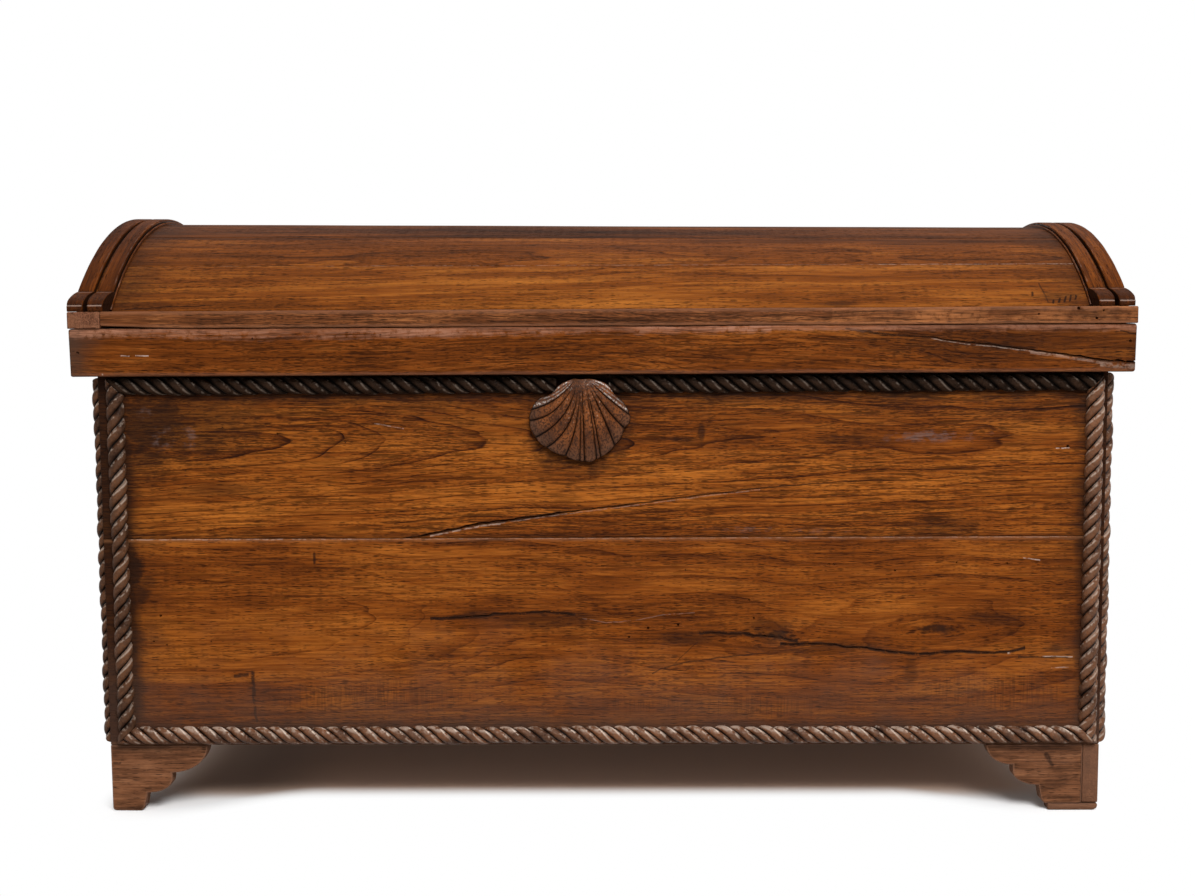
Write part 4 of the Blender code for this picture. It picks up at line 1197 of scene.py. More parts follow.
def makeRopeWood(name):
    # Dark waxed strands, rubbed on the crests, with painted shade black in the grooves and a painted
    # highlight pale along one flank and on faces that look up
    look = ropeLooks[name]
    material, shader, place, crest, ply = startMaterial("rope wood " + name, "crest", "ply")
    patch = noiseField(place, 34.0, 4.0, 0.65)
    chip = noiseField(place, 150.0, 3.0, 0.6)
    fine = noiseField(place, 420.0, 3.0, 0.6)
    body = mixColour(fade(patch, 0.3, 0.7), look["dark"], look["light"])
    body = mixColour(times(fade(fine, 0.46, 0.66), 0.75), body, look["dark"])
    rubbed = times(fade(scaled(patch, 0.35, crest), 0.92, 1.22), fade(fine, 0.25, 0.6))
    body = mixColour(times(rubbed, look["rubbed"]), body, ropeColours["rubbed"])
    # Painted highlight: a pale streak along one flank of each strand, strongest where the face looks up, and
    # a broader one on all upward faces
    flank = times(fade(ply, 0.62, 0.72), fade(ply, 0.86, 0.77))
    upper = fade(split(place.node.outputs["Normal"])[2], 0.2, 0.8)
    streak = times(flank, scaled(upper, 0.62, 0.42), clamp=True)
    bright = most(streak, times(upper, look["upper"]))
    pale = times(bright, fade(addUp((0.6, chip), (0.4, patch)), 0.45, 0.55))
    body = mixColour(times(pale, look["glint"]), body, ropeColours["pale"])
    # Painted shade: the grooves go nearly black
    colour = mixColour(fade(crest, *look["groove"]), body, ropeColours["groove"])
    rough = addUp((0.26, fine), (0.2, chip), scaled(crest, -0.16, look["roughness"]))
    shader.inputs["Specular IOR Level"].default_value = look["gloss"]
    finishShader(shader, colour, rough, addUp((0.6, fine), (1.1, chip), (0.5, patch)), 0.8, 0.0018)
    return material


ropeTree, ropeSockets = makeRopeTree()
ropeWood = makeRopeWood("open")
leftRope = makeRopeWood("left side")
shadedRope = makeRopeWood("under lid")
toRight, toBack, upward = (1, 0, 0), (0, 1, 0), (0, 0, 1)
toLeft, toFront, downward = (-1, 0, 0), (0, -1, 0), (0, 0, -1)
leftSlide = (-0.0042, 0.0, 0.0)
# The ropes under the lid and on the trunk's left take the darker painted-shade copies of the rope wood
dressRope("front_rope_top_left", toRight, downward, toFront, (1, 0), shadedRope, 1, -leftSlide[0], 0.006)
dressRope("front_rope_top_right", toRight, downward, toFront, (0, 1), shadedRope, 2)
dressRope("front_rope_bottom", toRight, upward, toFront, (1, 1), ropeWood, 3, -leftSlide[0])
dressRope("front_rope_left", upward, toRight, toFront, (1, 1), leftRope, 4, slide=leftSlide)
dressRope("front_rope_right", upward, toLeft, toFront, (1, 1), ropeWood, 5)
for number, (name, outward, wood) in enumerate((("left", toLeft, leftRope), ("right", toRight, ropeWood))):
    dressRope(f"{name}_rope_top", toBack, downward, outward, (1, 1), wood, 6 + 4 * number)
    dressRope(f"{name}_rope_bottom", toBack, upward, outward, (1, 1), wood, 7 + 4 * number)
    dressRope(f"{name}_rope_front", upward, toBack, outward, (1, 1), wood, 8 + 4 * number)
    dressRope(f"{name}_rope_rear", upward, toFront, outward, (1, 1), wood, 9 + 4 * number)
print("trunk: ropes carved")


# Scallop shell: ribs between carved lines that fan out from the neck

shell = {
    # Lines from neck to rim: start, a point passed and end, in mm right of the middle and below the top
    "lines": [
        ((-7.0, 1.8), (-25.5, 11.0), (-29.0, 22.0)), ((-6.0, 2.0), (-26.5, 24.0), (-57.0, 38.5)),
        ((-4.5, 2.2), (-28.0, 37.0), (-59.5, 51.0)), ((-3.0, 2.4), (-19.0, 43.5), (-52.5, 71.0)),
        ((-1.5, 2.5), (-11.5, 51.0), (-39.5, 83.0)), ((0.0, 2.5), (-4.0, 52.0), (-17.6, 93.0)),
        ((1.5, 2.5), (1.2, 50.0), (-0.6, 98.5)), ((2.5, 2.5), (3.4, 49.5), (4.5, 99.0)),
        ((4.5, 2.4), (14.2, 50.0), (19.0, 96.5)), ((5.5, 2.3), (16.4, 51.0), (23.5, 94.5)),
        ((7.0, 2.2), (24.5, 40.5), (40.5, 80.5)), ((8.5, 2.1), (30.0, 35.5), (51.5, 60.0)),
        ((9.8, 2.0), (31.5, 23.5), (57.5, 44.5)), ((10.7, 1.9), (31.0, 8.5), (37.5, 21.0)),
    ],
    # Rim beyond the chord of each rib
    "bulges": [6.2, 1.0, 2.0, 1.5, 1.6, 1.5, 0.5, 2.3, 0.5, 1.5, 1.8, 3.5, 3.6],
    "ribSteps": 20, "rows": 64, "groove": 3.3, "edge": 8.5, "crown": 22.5, "peak": 0.22, "neck": 0.78,
    "skirt": ((0.6, 0.35), (1.05, 0.6), (0.2, 1.0)),  # mm outwards and share of the way back of each loop
    # Painted highlight lines near both edges: how many ribs in, width and strength
    "ridges": ((0.82, 0.06, 1.0), (0.5, 0.06, 0.45), (0.12, 0.07, 1.0)),
}
# neck and groove are painted shade colours; speck and ridge are painted highlight colours
shellLook = {
    "dark": (0.066, 0.02, 0.0064), "light": (0.215, 0.066, 0.017), "rim": (0.085, 0.041, 0.024),
    "tooled": (0.022, 0.009, 0.005), "neck": (0.03, 0.012, 0.006), "speck": (0.42, 0.33, 0.27),
    "groove": (0.006, 0.003, 0.002), "ridge": (0.6, 0.53, 0.48), "gloss": 0.14,
}


def shellLine(number, share):
    start, passed, end = (Vector(point) for point in shell["lines"][number])
    control = passed * 2 - (start + end) / 2
    return start * (1 - share) ** 2 + control * 2 * share * (1 - share) + end * share ** 2


def shellPoint(rib, across, share):
    # Place right and down of a point between two lines, and how far it stands out
    left, right = shellLine(rib, share), shellLine(rib + 1, share)
    place = left.lerp(right, across)
    chord = right - left
    swell = 4 * across * (1 - across)
    if chord.length > 0:
        place += Vector((-chord.y, chord.x)).normalized() * shell["bulges"][rib] * swell * share ** 3
    lineCount = len(shell["lines"]) - 1
    turn = (rib + across) / lineCount * 2 - 1
    rise = 1 - (1 - min(1.0, share / shell["peak"])) ** 2
    fall = 1 - max(0.0, (share - shell["peak"]) / (1 - shell["peak"])) ** 1.9
    swollen = (shell["neck"] + (1 - shell["neck"]) * rise) * fall * (1 - 0.35 * abs(turn) ** 3)
    out = shell["edge"] + (shell["crown"] - shell["edge"]) * swollen
    width = min(1.0, chord.length / 6.0)
    outer = (rib == 0 and across < 0.5) or (rib == lineCount - 1 and across > 0.5)
    lobe = 1.0 if outer else 1 - abs(2 * across - 1) ** 3.2
    out -= shell["groove"] * width * (1 - lobe) * min(1.0, max(0.0, share - 0.08) * 3.5)
    out += 0.4 * noise.noise(Vector((place.x * 0.09, place.y * 0.09, 2.0)))
    out += 0.22 * noise.noise(Vector((place.x * 0.33, place.y * 0.33, 6.0)))
    return place, out, lobe


def dressShell(material):
    node = "scallop_shell"
    low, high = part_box(node)
    middle, top, back = (low.x + high.x) / 2, high.z, high.y
    ribs = len(shell["lines"]) - 1
    columns = ribs * shell["ribSteps"]
    bm = bmesh.new()
    crest = bm.verts.layers.float.new("crest")
    rim = bm.verts.layers.float.new("rim")
    ridge = bm.verts.layers.float.new("ridge")
    rows = []
    for i in range(shell["rows"] + 1):
        share = (i / shell["rows"]) ** 0.9
        row = []
        for j in range(columns + 1):
            rib = min(ribs - 1, j // shell["ribSteps"])
            place, out, lobe = shellPoint(rib, j / shell["ribSteps"] - rib, share)
            vertex = bm.verts.new((middle + place.x / 1000, back - out / 1000, top - place.y / 1000))
            vertex[crest] = lobe
            vertex[rim] = share
            fromEdge = min(j, columns - j) / shell["ribSteps"]
            vertex[ridge] = sum(
                peak * math.exp(-((fromEdge - at) / wide) ** 2) for at, wide, peak in shell["ridges"]
            )
            row.append(vertex)
        rows.append(row)
    for row, following in zip(rows, rows[1:]):
        for j in range(columns):
            bm.faces.new((row[j], row[j + 1], following[j + 1], following[j]))
    # Rounded edge, then a wall back to the board, then a flat back
    edge = [row[0] for row in rows] + rows[-1][1:] + [row[-1] for row in rows[-2::-1]] + rows[0][-2:0:-1]
    centre = sum((vertex.co for vertex in edge), Vector()) / len(edge)
    loops = [edge]
    for outward, depth in shell["skirt"]:
        loop = []
        for vertex in edge:
            away = vertex.co - centre
            away.y = 0.0
            place = vertex.co + away.normalized() * outward / 1000
            place.y = vertex.co.y + (back - vertex.co.y) * depth
            made = bm.verts.new(place)
            made[rim] = 1.0
            loop.append(made)
        loops.append(loop)
    skin(bm, loops, closed=False)
    finishPiece(addObject(node + "_dressed", bm), node, material, 0.0, 60)


def makeShellWood():
    # Tooled between the grooves, greyer towards the rim, with painted shade in the grooves and at the neck,
    # and painted highlights as pale specks on the upper ribs and along the outer ridges
    material, shader, place, crest, rim, ridge = startMaterial("shell wood", "crest", "rim", "ridge")
    patch = noiseField(place, 45.0, 4.0, 0.6)
    tooled = noiseField(place, (480.0, 480.0, 360.0), 2.0, 0.6)
    colour = mixColour(fade(patch, 0.3, 0.7), shellLook["dark"], shellLook["light"])
    colour = mixColour(times(fade(rim, 0.7, 1.0), 0.7), colour, shellLook["rim"])
    colour = mixColour(times(fade(tooled, 0.47, 0.6), 0.8), colour, shellLook["tooled"])
    # Painted shade at the neck, under the lid
    colour = mixColour(times(fade(rim, 0.16, 0.0), 0.6), colour, shellLook["neck"])
    # Painted highlight: pale specks on the upper part
    specks = times(fade(tooled, 0.36, 0.28), fade(rim, 0.75, 0.35))
    colour = mixColour(times(specks, 0.6), colour, shellLook["speck"])
    # Painted shade in the carved grooves
    colour = mixColour(fade(crest, 0.52, 0.08), colour, shellLook["groove"])
    # Painted highlight along the outer ridges
    rubbed = times(ridge, fade(tooled, 0.4, 0.6), fade(rim, 0.0, 0.25))
    colour = mixColour(times(rubbed, 0.95, clamp=True), colour, shellLook["ridge"])
    rough = addUp((0.25, tooled), (0.2, patch), scaled(crest, -0.1, 0.26))
    shader.inputs["Specular IOR Level"].default_value = shellLook["gloss"]
    finishShader(shader, colour, rough, addUp((0.8, tooled), (0.5, patch)), 0.6, 0.0014)
    return material


dressShell(makeShellWood())
print("trunk: shell carved")


# Lid rails and the flat strips that lie on them

railLow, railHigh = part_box("lid_front_rail")
stripLow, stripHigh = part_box("lid_front_strip")
rail = {
    "lean": 0.0027, "crackDepth": 0.014,
    "crack": [(0.286, 0.5845, 0.0003), (0.34, 0.5764, 0.0006), (0.386, 0.5739, 0.0008),
              (0.427, 0.5671, 0.0018), (0.458, 0.5644, 0.0012), (0.501, 0.5585, 0.0013),
              (0.54, 0.5533, 0.0017), (0.583, 0.5461, 0.0024), (0.632, 0.542, 0.0034)],
    "pits": [(-0.6141, 0.5606, 0.0022), (-0.4074, 0.5764, 0.0013), (0.6169, 0.568, 0.0022),
             (-0.2571, 0.58, 0.001)],
}
strip = {
    "lift": 0.003, "liftEnd": -0.49,  # front strip stands off the rail at its left end
    "pits": [(0.5558, 0.6062, 0.0021), (0.5847, 0.6035, 0.0013), (0.5769, 0.5948, 0.0019),
             (0.5098, 0.5998, 0.0014)],
}


def railShape(axis, sign):
    # The outer face leans in towards its lower edge
    inner = (railHigh.x if axis == 0 else -railLow.y) - 0.02

    def lean(place):
        if sign * place[axis] > inner:
            place[axis] -= sign * rail["lean"] * (railHigh.z - place.z) / (railHigh.z - railLow.z)
        return place

    return lean


def stripShape(place):
    share = (strip["liftEnd"] - place.x) / (strip["liftEnd"] - stripLow.x)
    if place.z < (stripLow.z + stripHigh.z) / 2 and share > 0:
        place.z += strip["lift"] * share ** 1.3
    return place


railLook = {
    "ring": 0.006, "level": 0.63, "worn": 0.28, "wornColour": (0.245, 0.105, 0.06), "bloom": 0.02,
    "line": 0.55, "gloss": 0.03, "density": 0.8, "dash": 0.62, "streak": 0.6, "blotch": 0.8, "waver": 0.032,
    "tones": ((0.0, (0.012, 0.004, 0.0014)), (0.3, (0.06, 0.015, 0.0028)),
              (0.6, (0.15, 0.0375, 0.0054)), (1.0, (0.33, 0.102, 0.0165))),
}
frontRailWood = makeOldWood(
    "front rail wood", seed=50.3, pith=(-0.245, 0.515), slope=0.05, ringWaver=0.05,
    stains=((0.46, 0.574, 0.22, 0.04, 0.45), (0.6, 0.56, 0.06, 0.04, 0.4)),
    # The dark marks along the crack are dirt and painted shade in it
    marks=((alongCrack(rail["crack"]), 0.0026, 0.8),
           (((0.604, 0.58), (0.614, 0.5772), (0.626, 0.5762)), 0.0016, 0.9)),
    scratches=((((-0.5635, 0.5568), (-0.553, 0.5567)), 0.001, 0.6),
               (((-0.546, 0.5566), (-0.5304, 0.5566)), 0.0011, 0.9),
               (((-0.587, 0.535), (-0.585, 0.5345)), 0.0014, 0.9),
               # The pale lines just below the crack are a painted highlight on its lower lip
               (lipOf(rail["crack"], 0.0046, 0.57, 0.64), 0.0044, 0.3),
               (lipOf(rail["crack"], 0.003, 0.49, 0.64), 0.0024, 0.24),
               (lipOf(rail["crack"], 0.0018, 0.38, 0.55), 0.0009, 0.4)),
    # The pale rubs along the top are wear and, where the rounded edge faces up, a painted highlight
    rubs=((((-0.624, 0.583), (-0.586, 0.5845), (-0.4, 0.5805), (-0.2, 0.5825), (-0.04, 0.585),
            (0.2, 0.5862)), 0.0085, 1.0),
          (((0.2, 0.5862), (0.4, 0.585), (0.625, 0.583)), 0.0055, 0.6)), rubColour=(0.3, 0.135, 0.08),
    dust=(((-0.6243, -1.0, 0.0), (1.0, 1.0, 1.0), 0.04, 0.45),), bloomColour=(0.112, 0.062, 0.041),
    borders=(((-0.6243, -1.0, 0.0), (1.0, 1.0, 1.0), 0.05, 0.8),
             ((-1.0, -1.0, 0.0), (0.6243, 1.0, 1.0), 0.04, 0.62),
             ((-1.0, -1.0, railLow.z), (1.0, 1.0, 1.0), 0.006, 0.6)),
    **railLook,
)
railWoodX = makeOldWood("back rail wood", seed=53.8, pith=(0.25, 0.5), **railLook)
railWoodY = makeOldWood("end rail wood", grain="y", seed=57.1, pith=(0.55, 0.5), **railLook)
stripLook = dict(
    railLook, level=0.56, worn=0.35, wornColour=(0.27, 0.115, 0.058), bloom=0.04, gloss=0.04, dash=0.65,
    fibre=1.0,
    tones=((0.0, (0.012, 0.005, 0.0025)), (0.3, (0.056, 0.0185, 0.0066)),
           (0.6, (0.14, 0.0445, 0.014)), (1.0, (0.35, 0.13, 0.042))),
)
frontStripWood = makeOldWood(
    "front strip wood", seed=61.5, pith=(-0.25, 0.55), rubColour=(0.44, 0.165, 0.056), **stripLook,
    rubs=((((0.27, 0.6), (0.628, 0.599)), 0.018, 0.22), (((0.365, 0.6), (0.628, 0.599)), 0.018, 0.45),
          (((0.44, 0.6), (0.628, 0.599)), 0.018, 0.62)),
)
backStripWood = makeOldWood("back strip wood", seed=63.4, pith=(0.25, 0.55), **stripLook)
stripWoodY = makeOldWood("end strip wood", grain="y", seed=65.2, pith=(0.5, 0.55), **dict(
    stripLook, level=0.6, line=0.2, streak=0.45, fibre=0.7, dash=0.45, density=0.5,
    tones=((0.0, (0.014, 0.006, 0.003)), (0.3, (0.07, 0.025, 0.011)), (0.6, (0.17, 0.066, 0.034)),
           (1.0, (0.28, 0.125, 0.07))),
))


def dressRails():
    edge = {"end": 0.0025, "column": 0.012, "step": 0.01}
    # The outer upper edge is the most worn
    radii = {-1: (0.0018, 0.0034, 0.0018, 0.0012), 1: (0.0034, 0.0018, 0.0012, 0.0018)}
    for name, grain, sign, material, tone, seed in (
        ("front", 0, -1, frontRailWood, 0.0, 6.6), ("back", 0, 1, railWoodX, -0.02, 9.1),
        ("left", 1, -1, railWoodY, -0.015, 11), ("right", 1, 1, railWoodY, 0.015, 13),
    ):
        node = f"lid_{name}_rail"
        worn = dict(edge, seed=seed, radii=radii[sign])
        piece = wornBar(f"{node}_dressed", *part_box(node), grain, worn, railShape(1 - grain, sign))
        if name == "front":
            carveFace(piece, railLow.y, [rail["crack"]], rail["pits"], rail["crackDepth"])
        finishPiece(piece, node, material, tone)


def dressStrips():
    edge = {"radii": (0.0014, 0.0018, 0.0014, 0.0012), "end": 0.0016, "column": 0.014, "step": 0.01}
    for name, grain, material, tone in (
        ("front", 0, frontStripWood, 0.0), ("back", 0, backStripWood, -0.03),
        ("left", 1, stripWoodY, 0.02), ("right", 1, stripWoodY, -0.01),
    ):
        node = f"lid_{name}_strip"
        reshape = stripShape if name == "front" else None
        piece = wornBar(f"{node}_dressed", *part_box(node), grain, dict(edge, seed=20 + 60 * tone), reshape)
        if name == "front":
            carveFace(piece, stripLow.y, [], strip["pits"], crackDepth)
        finishPiece(piece, node, material, tone)


dressRails()
dressStrips()
print("trunk: lid frame dressed")


# Dome: seven staves, an arched board at each end and two pairs of bands

dome = {
    "staves": 7, "staveSteps": 10, "seam": 0.0007, "step": 0.024,
    # Each stave's tone: the front stave lighter and the next ones up to the crown darker, painted shade,
    # besides random difference
    "tones": (0.09, -0.07, -0.16, -0.12, -0.02, -0.06, 0.0),
    # Burnt strokes near the right end: x, then where each starts and ends along the dome
    "scorches": ((0.535, -0.2908, -0.2858), (0.5418, -0.2902, -0.2832), (0.5484, -0.2898, -0.2796),
                 (0.555, -0.2882, -0.2776), (0.5618, -0.2852, -0.2774)),
    "bandSteps": 56, "footSteps": 8, "bandRound": 0.0018,
    "groove": 0.001, "bead": 0.0028, "beadWidth": 0.0034, "trim": 0.003, "flat": 0.0045,
    "slide": {"left": -0.003, "right": -0.0006},
    "footHeight": 0.022, "lip": 0.0072, "ledge": 0.0015, "shoulderProud": 0.0022, "lipInset": 0.0004,
    "arch": {"bevel": 0.0006, "ring": 0.004, "sway": 0.0001, "steps": 40},
    "rise": 0.111, "lean": 0.0097,  # the crown rises towards the left by this share of the length
}
domeBase = domeHigh.z - dome["rise"] + fit
domeHalfLength = domeHigh.x
domeLimit = math.acos((domeBase - domeCentre) / domeRadius)
seamRun = -domeRadius * domeLimit * (1 - 2 / dome["staves"])  # where the first two staves meet
staveWood = makeOldWood(
    "stave wood", grain="dome", seed=70.7, pith=(0.09, -0.19), slope=0.02, ring=0.0065, ringWaver=0.03,
    waver=0.01, line=0.5, streak=0.7, fibre=0.62, blotch=0.8, blotchScale=(2.6, 18.0, 18.0), density=0.7,
    level=0.58, bare="dome", gloss=0.022, coat=0.22, dash=0.36,
    tones=((0.0, (0.012, 0.004, 0.0015)), (0.3, (0.06, 0.0165, 0.0033)),
           (0.6, (0.152, 0.04, 0.0056)), (1.0, (0.34, 0.112, 0.0165))),
    stains=((0.284, -0.29, 0.03, 0.008, 0.6), (0.548, -0.28, 0.04, 0.014, 0.5)),
    marks=((((-0.573, -0.2942), (-0.53, -0.2905), (-0.47, -0.2882)), 0.0016, 0.85),
           *[(((x, low), (x + 0.35 * (high - low), high)), 0.0022, 0.95)
             for x, low, high in dome["scorches"]],
           (((0.5127, -0.278), (0.5137, -0.2715)), 0.0024, 0.9),
           (((0.5249, -0.2553), (0.5298, -0.29)), 0.0014, 0.7)),
    scratches=((((-0.58, seamRun + 0.001), (0.0, seamRun + 0.0008), (0.58, seamRun + 0.001)),
                0.0009, 0.16),
               (((0.34, seamRun + 0.0009), (0.58, seamRun + 0.001)), 0.001, 0.34)),
    borders=(((-0.58, -1.0, -1.0), (0.58, 1.0, 1.0), 0.075, 0.58),),
)
endArchWood = makeOldWood(
    "dome end wood", grain="y", seed=74.9, pith=(0.45, 0.75), slope=0.03, ring=0.008, bare=(0.6035, 1.0)
)
bandWood = makeOldWood(
    "band wood", grain="arch", seed=78.3, pith=(0.05, 0.7), ring=0.006, level=0.64, worn=0.48,
    wornColour=(0.34, 0.255, 0.21), line=0.3, roughness=0.42, density=0.4, dash=0.4, blotch=0.9,
    tones=((0.0, (0.009, 0.003, 0.001)), (0.32, (0.034, 0.0085, 0.0015)),
           (0.62, (0.078, 0.0185, 0.0024)), (1.0, (0.18, 0.048, 0.0062))),
)


def onDome(radius, turn):
    return radius * math.sin(turn), domeCentre + radius * math.cos(turn)


def loftAlong(name, sections, wears):
    # Joins closed sections of equal counts into one skin
    bm = bmesh.new()
    wear = bm.verts.layers.float.new("wear")
    rings = []
    wears = iter(wears)
    for section in sections:
        ring = []
        for point in section:
            vertex = bm.verts.new(point)
            vertex[wear] = next(wears)
            ring.append(vertex)
        rings.append(ring)
    skin(bm, rings)
    return addObject(name, bm)


def leanDome(piece):
    # The old dome has settled: its crown stands a little higher at the left than at the right
    for vertex in piece.data.vertices:
        share = (vertex.co.z - domeBase) / (crownHeight - domeBase)
        vertex.co.z -= dome["lean"] * vertex.co.x * max(0.0, share)


def dressStaves():
    width = 2 * domeLimit / dome["staves"]
    inner = domeRadius - staveThickness
    innerLimit = math.acos((domeBase - domeCentre) / inner)
    count = round(2 * domeHalfLength / dome["step"])
    steps = dome["staveSteps"]
    profile = [(0.05, 1.9), (0.45, 0.8), (1.2, 0.15), (4.0, 0.0)]  # run from the seam and sink, in seams
    for number in range(dome["staves"]):
        node = f"lid_stave_{number + 1}"
        first, last = -domeLimit + number * width, -domeLimit + (number + 1) * width
        innerFirst = -innerLimit if number == 0 else first
        innerLast = innerLimit if number == dome["staves"] - 1 else last
        sections = []
        for i in range(count + 1):
            x = -domeHalfLength + 2 * domeHalfLength * i / count
            section = []
            seam = dome["seam"] * (1 + 0.7 * noise.noise(Vector((x * 11.0, number * 3.3, 0.0))))
            left = [(first + run * seam / domeRadius, domeRadius - sink * seam) for run, sink in profile]
            right = [
                (last - run * seam / domeRadius, domeRadius - sink * seam) for run, sink in reversed(profile)
            ]
            start, end = left[-1][0], right[0][0]
            middle = [(start + (end - start) * s / steps, domeRadius) for s in range(1, steps)]
            for turn, radius in left + middle + right:
                sway = 0.0003 * noise.noise(Vector((x * 6.0, turn * 9.0, number * 5.0)))
                section.append((x, *onDome(radius + sway, turn)))
            for s in range(steps + 1):
                turn = innerLast + (innerFirst - innerLast) * s / steps
                section.append((x, *onDome(inner, turn)))
            sections.append(section)
        edges = [1.0, 1.0, 0.8, 0.0]
        wears = edges + [0.0] * (steps - 1) + edges[::-1] + [0.0] * (steps + 1)
        piece = loftAlong(f"{node}_dressed", sections, wears * len(sections))
        leanDome(piece)
        finishPiece(piece, node, staveWood, dome["tones"][number], 30)


def dressEndArches():
    radius = domeRadius - staveThickness - fit
    limit = math.acos((domeBase - domeCentre) / radius)
    arch = dome["arch"]
    for name, sign in (("left", -1), ("right", 1)):
        node = f"lid_{name}_end_board"
        low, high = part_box(node)
        outer = high.x if sign > 0 else low.x
        turns = [limit * (2 * i / arch["steps"] - 1) for i in range(arch["steps"] + 1)]
        points = [(outer, *onDome(radius, turn)) for turn in turns]
        piece = softPrism(f"{node}_dressed", points, (-sign * (high.x - low.x), 0.0, 0.0), arch, 4.0)
        leanDome(piece)
        finishPiece(piece, node, endArchWood, 0.01 * sign)


def levelOn(radius, height):
    # Front point of a circle about the dome's axis at a height
    return -math.sqrt(radius ** 2 - (height - domeCentre) ** 2), height


def bandStations(lift):
    # Under point, upper point, side inset and wear of a band, from one foot over the dome to the other; the
    # wear carries painted highlight and painted shade too
    under = domeRadius - 0.0002
    top = domeRadius + lift
    lip, shoulder = domeBase + dome["lip"], domeBase + dome["footHeight"]
    nose = stripLow.y + 0.0016
    inset = dome["lipInset"]
    # Wear above 1 paints a highlight on the lip's top edge; below zero it paints the faces under it darker,
    # dirt and painted shade
    rising = [
        (levelOn(under, domeBase), (nose + 0.001, domeBase), inset, -0.55),
        (levelOn(under, domeBase + 0.0008), (nose + 0.0002, domeBase + 0.001), inset, -0.5),
        (levelOn(under, lip - 0.0022), (nose, lip - 0.0024), inset, -0.45),
        (levelOn(under, lip - 0.0006), (nose + 0.0004, lip - 0.0008), inset, 1.1),
        (levelOn(under, lip), (nose + 0.0013, lip), inset, 1.2),
    ]
    foot = nose + dome["ledge"] + 0.0006
    neck = levelOn(top + dome["shoulderProud"], shoulder)[0]
    for step in range(dome["footSteps"] + 1):
        share = step / dome["footSteps"]
        height = lip + 0.0003 + (shoulder - lip - 0.0003) * share
        front = neck + (foot - neck) * math.cos(math.pi / 2 * share) ** 0.8
        # The foot's top step gets a painted highlight, its other steps dirt and painted shade
        wear = -0.8 if step == 0 else 0.75 if step == dome["footSteps"] else -0.5
        rising.append((levelOn(under, height), (front, height), 0.0, wear))
    rising.append((levelOn(under, shoulder + 0.0004), levelOn(top - 0.0007, shoulder + 0.0006), 0.0, -0.7))
    rising.append((levelOn(under, shoulder + 0.0016), levelOn(top - 0.0003, shoulder + 0.0018), 0.0, -0.2))
    limit = math.acos((shoulder + 0.004 - domeCentre) / domeRadius)
    arch = []
    for i in range(dome["bandSteps"] + 1):
        turn = limit * (2 * i / dome["bandSteps"] - 1)
        arch.append((onDome(under, turn), onDome(top, turn), 0.0, 0.0))
    falling = [
        ((-low[0], low[1]), (-high[0], high[1]), side, wear) for low, high, side, wear in reversed(rising)
    ]
    return rising + arch + falling


def bandSection(first, last, lift, bead):
    # Across a band: place along x, sink and wear, with a bead beside the inner band; wear below zero is dirt
    # and painted shade on the sides and in the groove
    sign = 1.0 if last > first else -1.0
    bend = dome["bandRound"]
    corner = [(0.0, bend, -0.2), (0.12 * bend, 0.5 * bend, 0.3), (0.45 * bend, 0.12 * bend, 0.45),
              (bend, 0.0, 0.2)]
    across = [(first, lift, -1.0), (first, 1.8 * bend, -0.9)]
    across += [(first + sign * inset, sink, rubbed) for inset, sink, rubbed in corner]
    flat = sign * dome["flat"]
    across += [(first + flat, 0.0, 0.0), ((first + last) / 2, 0.0, 0.0), (last - flat, 0.0, 0.0)]
    across += [(last - sign * inset, sink, rubbed) for inset, sink, rubbed in reversed(corner)]
    across.append((last, 1.8 * bend, -0.9))
    if not bead:
        return across + [(last, lift, -1.0)]
    start, end = last + sign * dome["groove"], last + sign * bead
    across.append((last, 0.94 * lift, -1.0))
    across.append((start, 0.94 * lift, -1.0))
    for step in range(7):
        turn = math.pi * (1 - step / 6)
        place = (start + end) / 2 + (end - start) / 2 * math.cos(turn)
        rise = 0.08 * lift + dome["bead"] * math.sin(turn)
        # The bead's top gets a painted highlight, its sides dirt and painted shade
        across.append((place, lift - rise, 0.42 if 1 < step < 5 else -0.6))
    return across + [(end, lift, -0.8)]


def dressBands():
    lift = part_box("lid_left_outer_band")[1].z - crownHeight
    for name, sign in (("left", -1), ("right", 1)):
        for kind in ("outer", "inner"):
            node = f"lid_{name}_{kind}_band"
            low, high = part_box(node)
            first, last = (high.x, low.x) if sign > 0 else (low.x, high.x)
            bead = 0.0
            if kind == "inner":
                bead = dome["beadWidth"]
                last += sign * (bead + dome["trim"])
            first, last = first + dome["slide"][name], last + dome["slide"][name]
            across = bandSection(first, last, lift, bead)
            middle, half = (first + last) / 2, abs(last - first) / 2
            sections = []
            wears = []
            for number, (under, top, inset, stationWear) in enumerate(bandStations(lift)):
                section = []
                height = math.hypot(top[0] - under[0], top[1] - under[1])
                for x, sink, rubbed in across:
                    if (x - last) * -sign > 1e-6:
                        # The bead keeps to the dome where the foot swells out
                        away = Vector((under[0], under[1] - domeCentre)).normalized()
                        y = under[0] + away.x * (lift - sink)
                        z = max(domeBase, under[1] + away.y * (lift - sink))
                    else:
                        share = 0.0 if sink == lift else 1 - sink / max(height, lift)
                        y = under[0] + (top[0] - under[0]) * share
                        z = under[1] + (top[1] - under[1]) * share
                        x = middle + (x - middle) * (1 - inset * share / half)
                        if sink < 0.5 * dome["bandRound"] and stationWear:
                            rubbed = stationWear
                    sway = 0.0004 * noise.noise(Vector((number * 0.35, x * 60.0, 1.0 + sign)))
                    section.append((x + sway, y, z))
                    wears.append(rubbed)
                sections.append(section)
            piece = loftAlong(f"{node}_dressed", sections, wears)
            leanDome(piece)
            finishPiece(piece, node, bandWood, 0.01 * sign, 50)


dressStaves()
dressEndArches()
dressBands()
print("trunk: dome dressed")


# Forged hinges and their nails

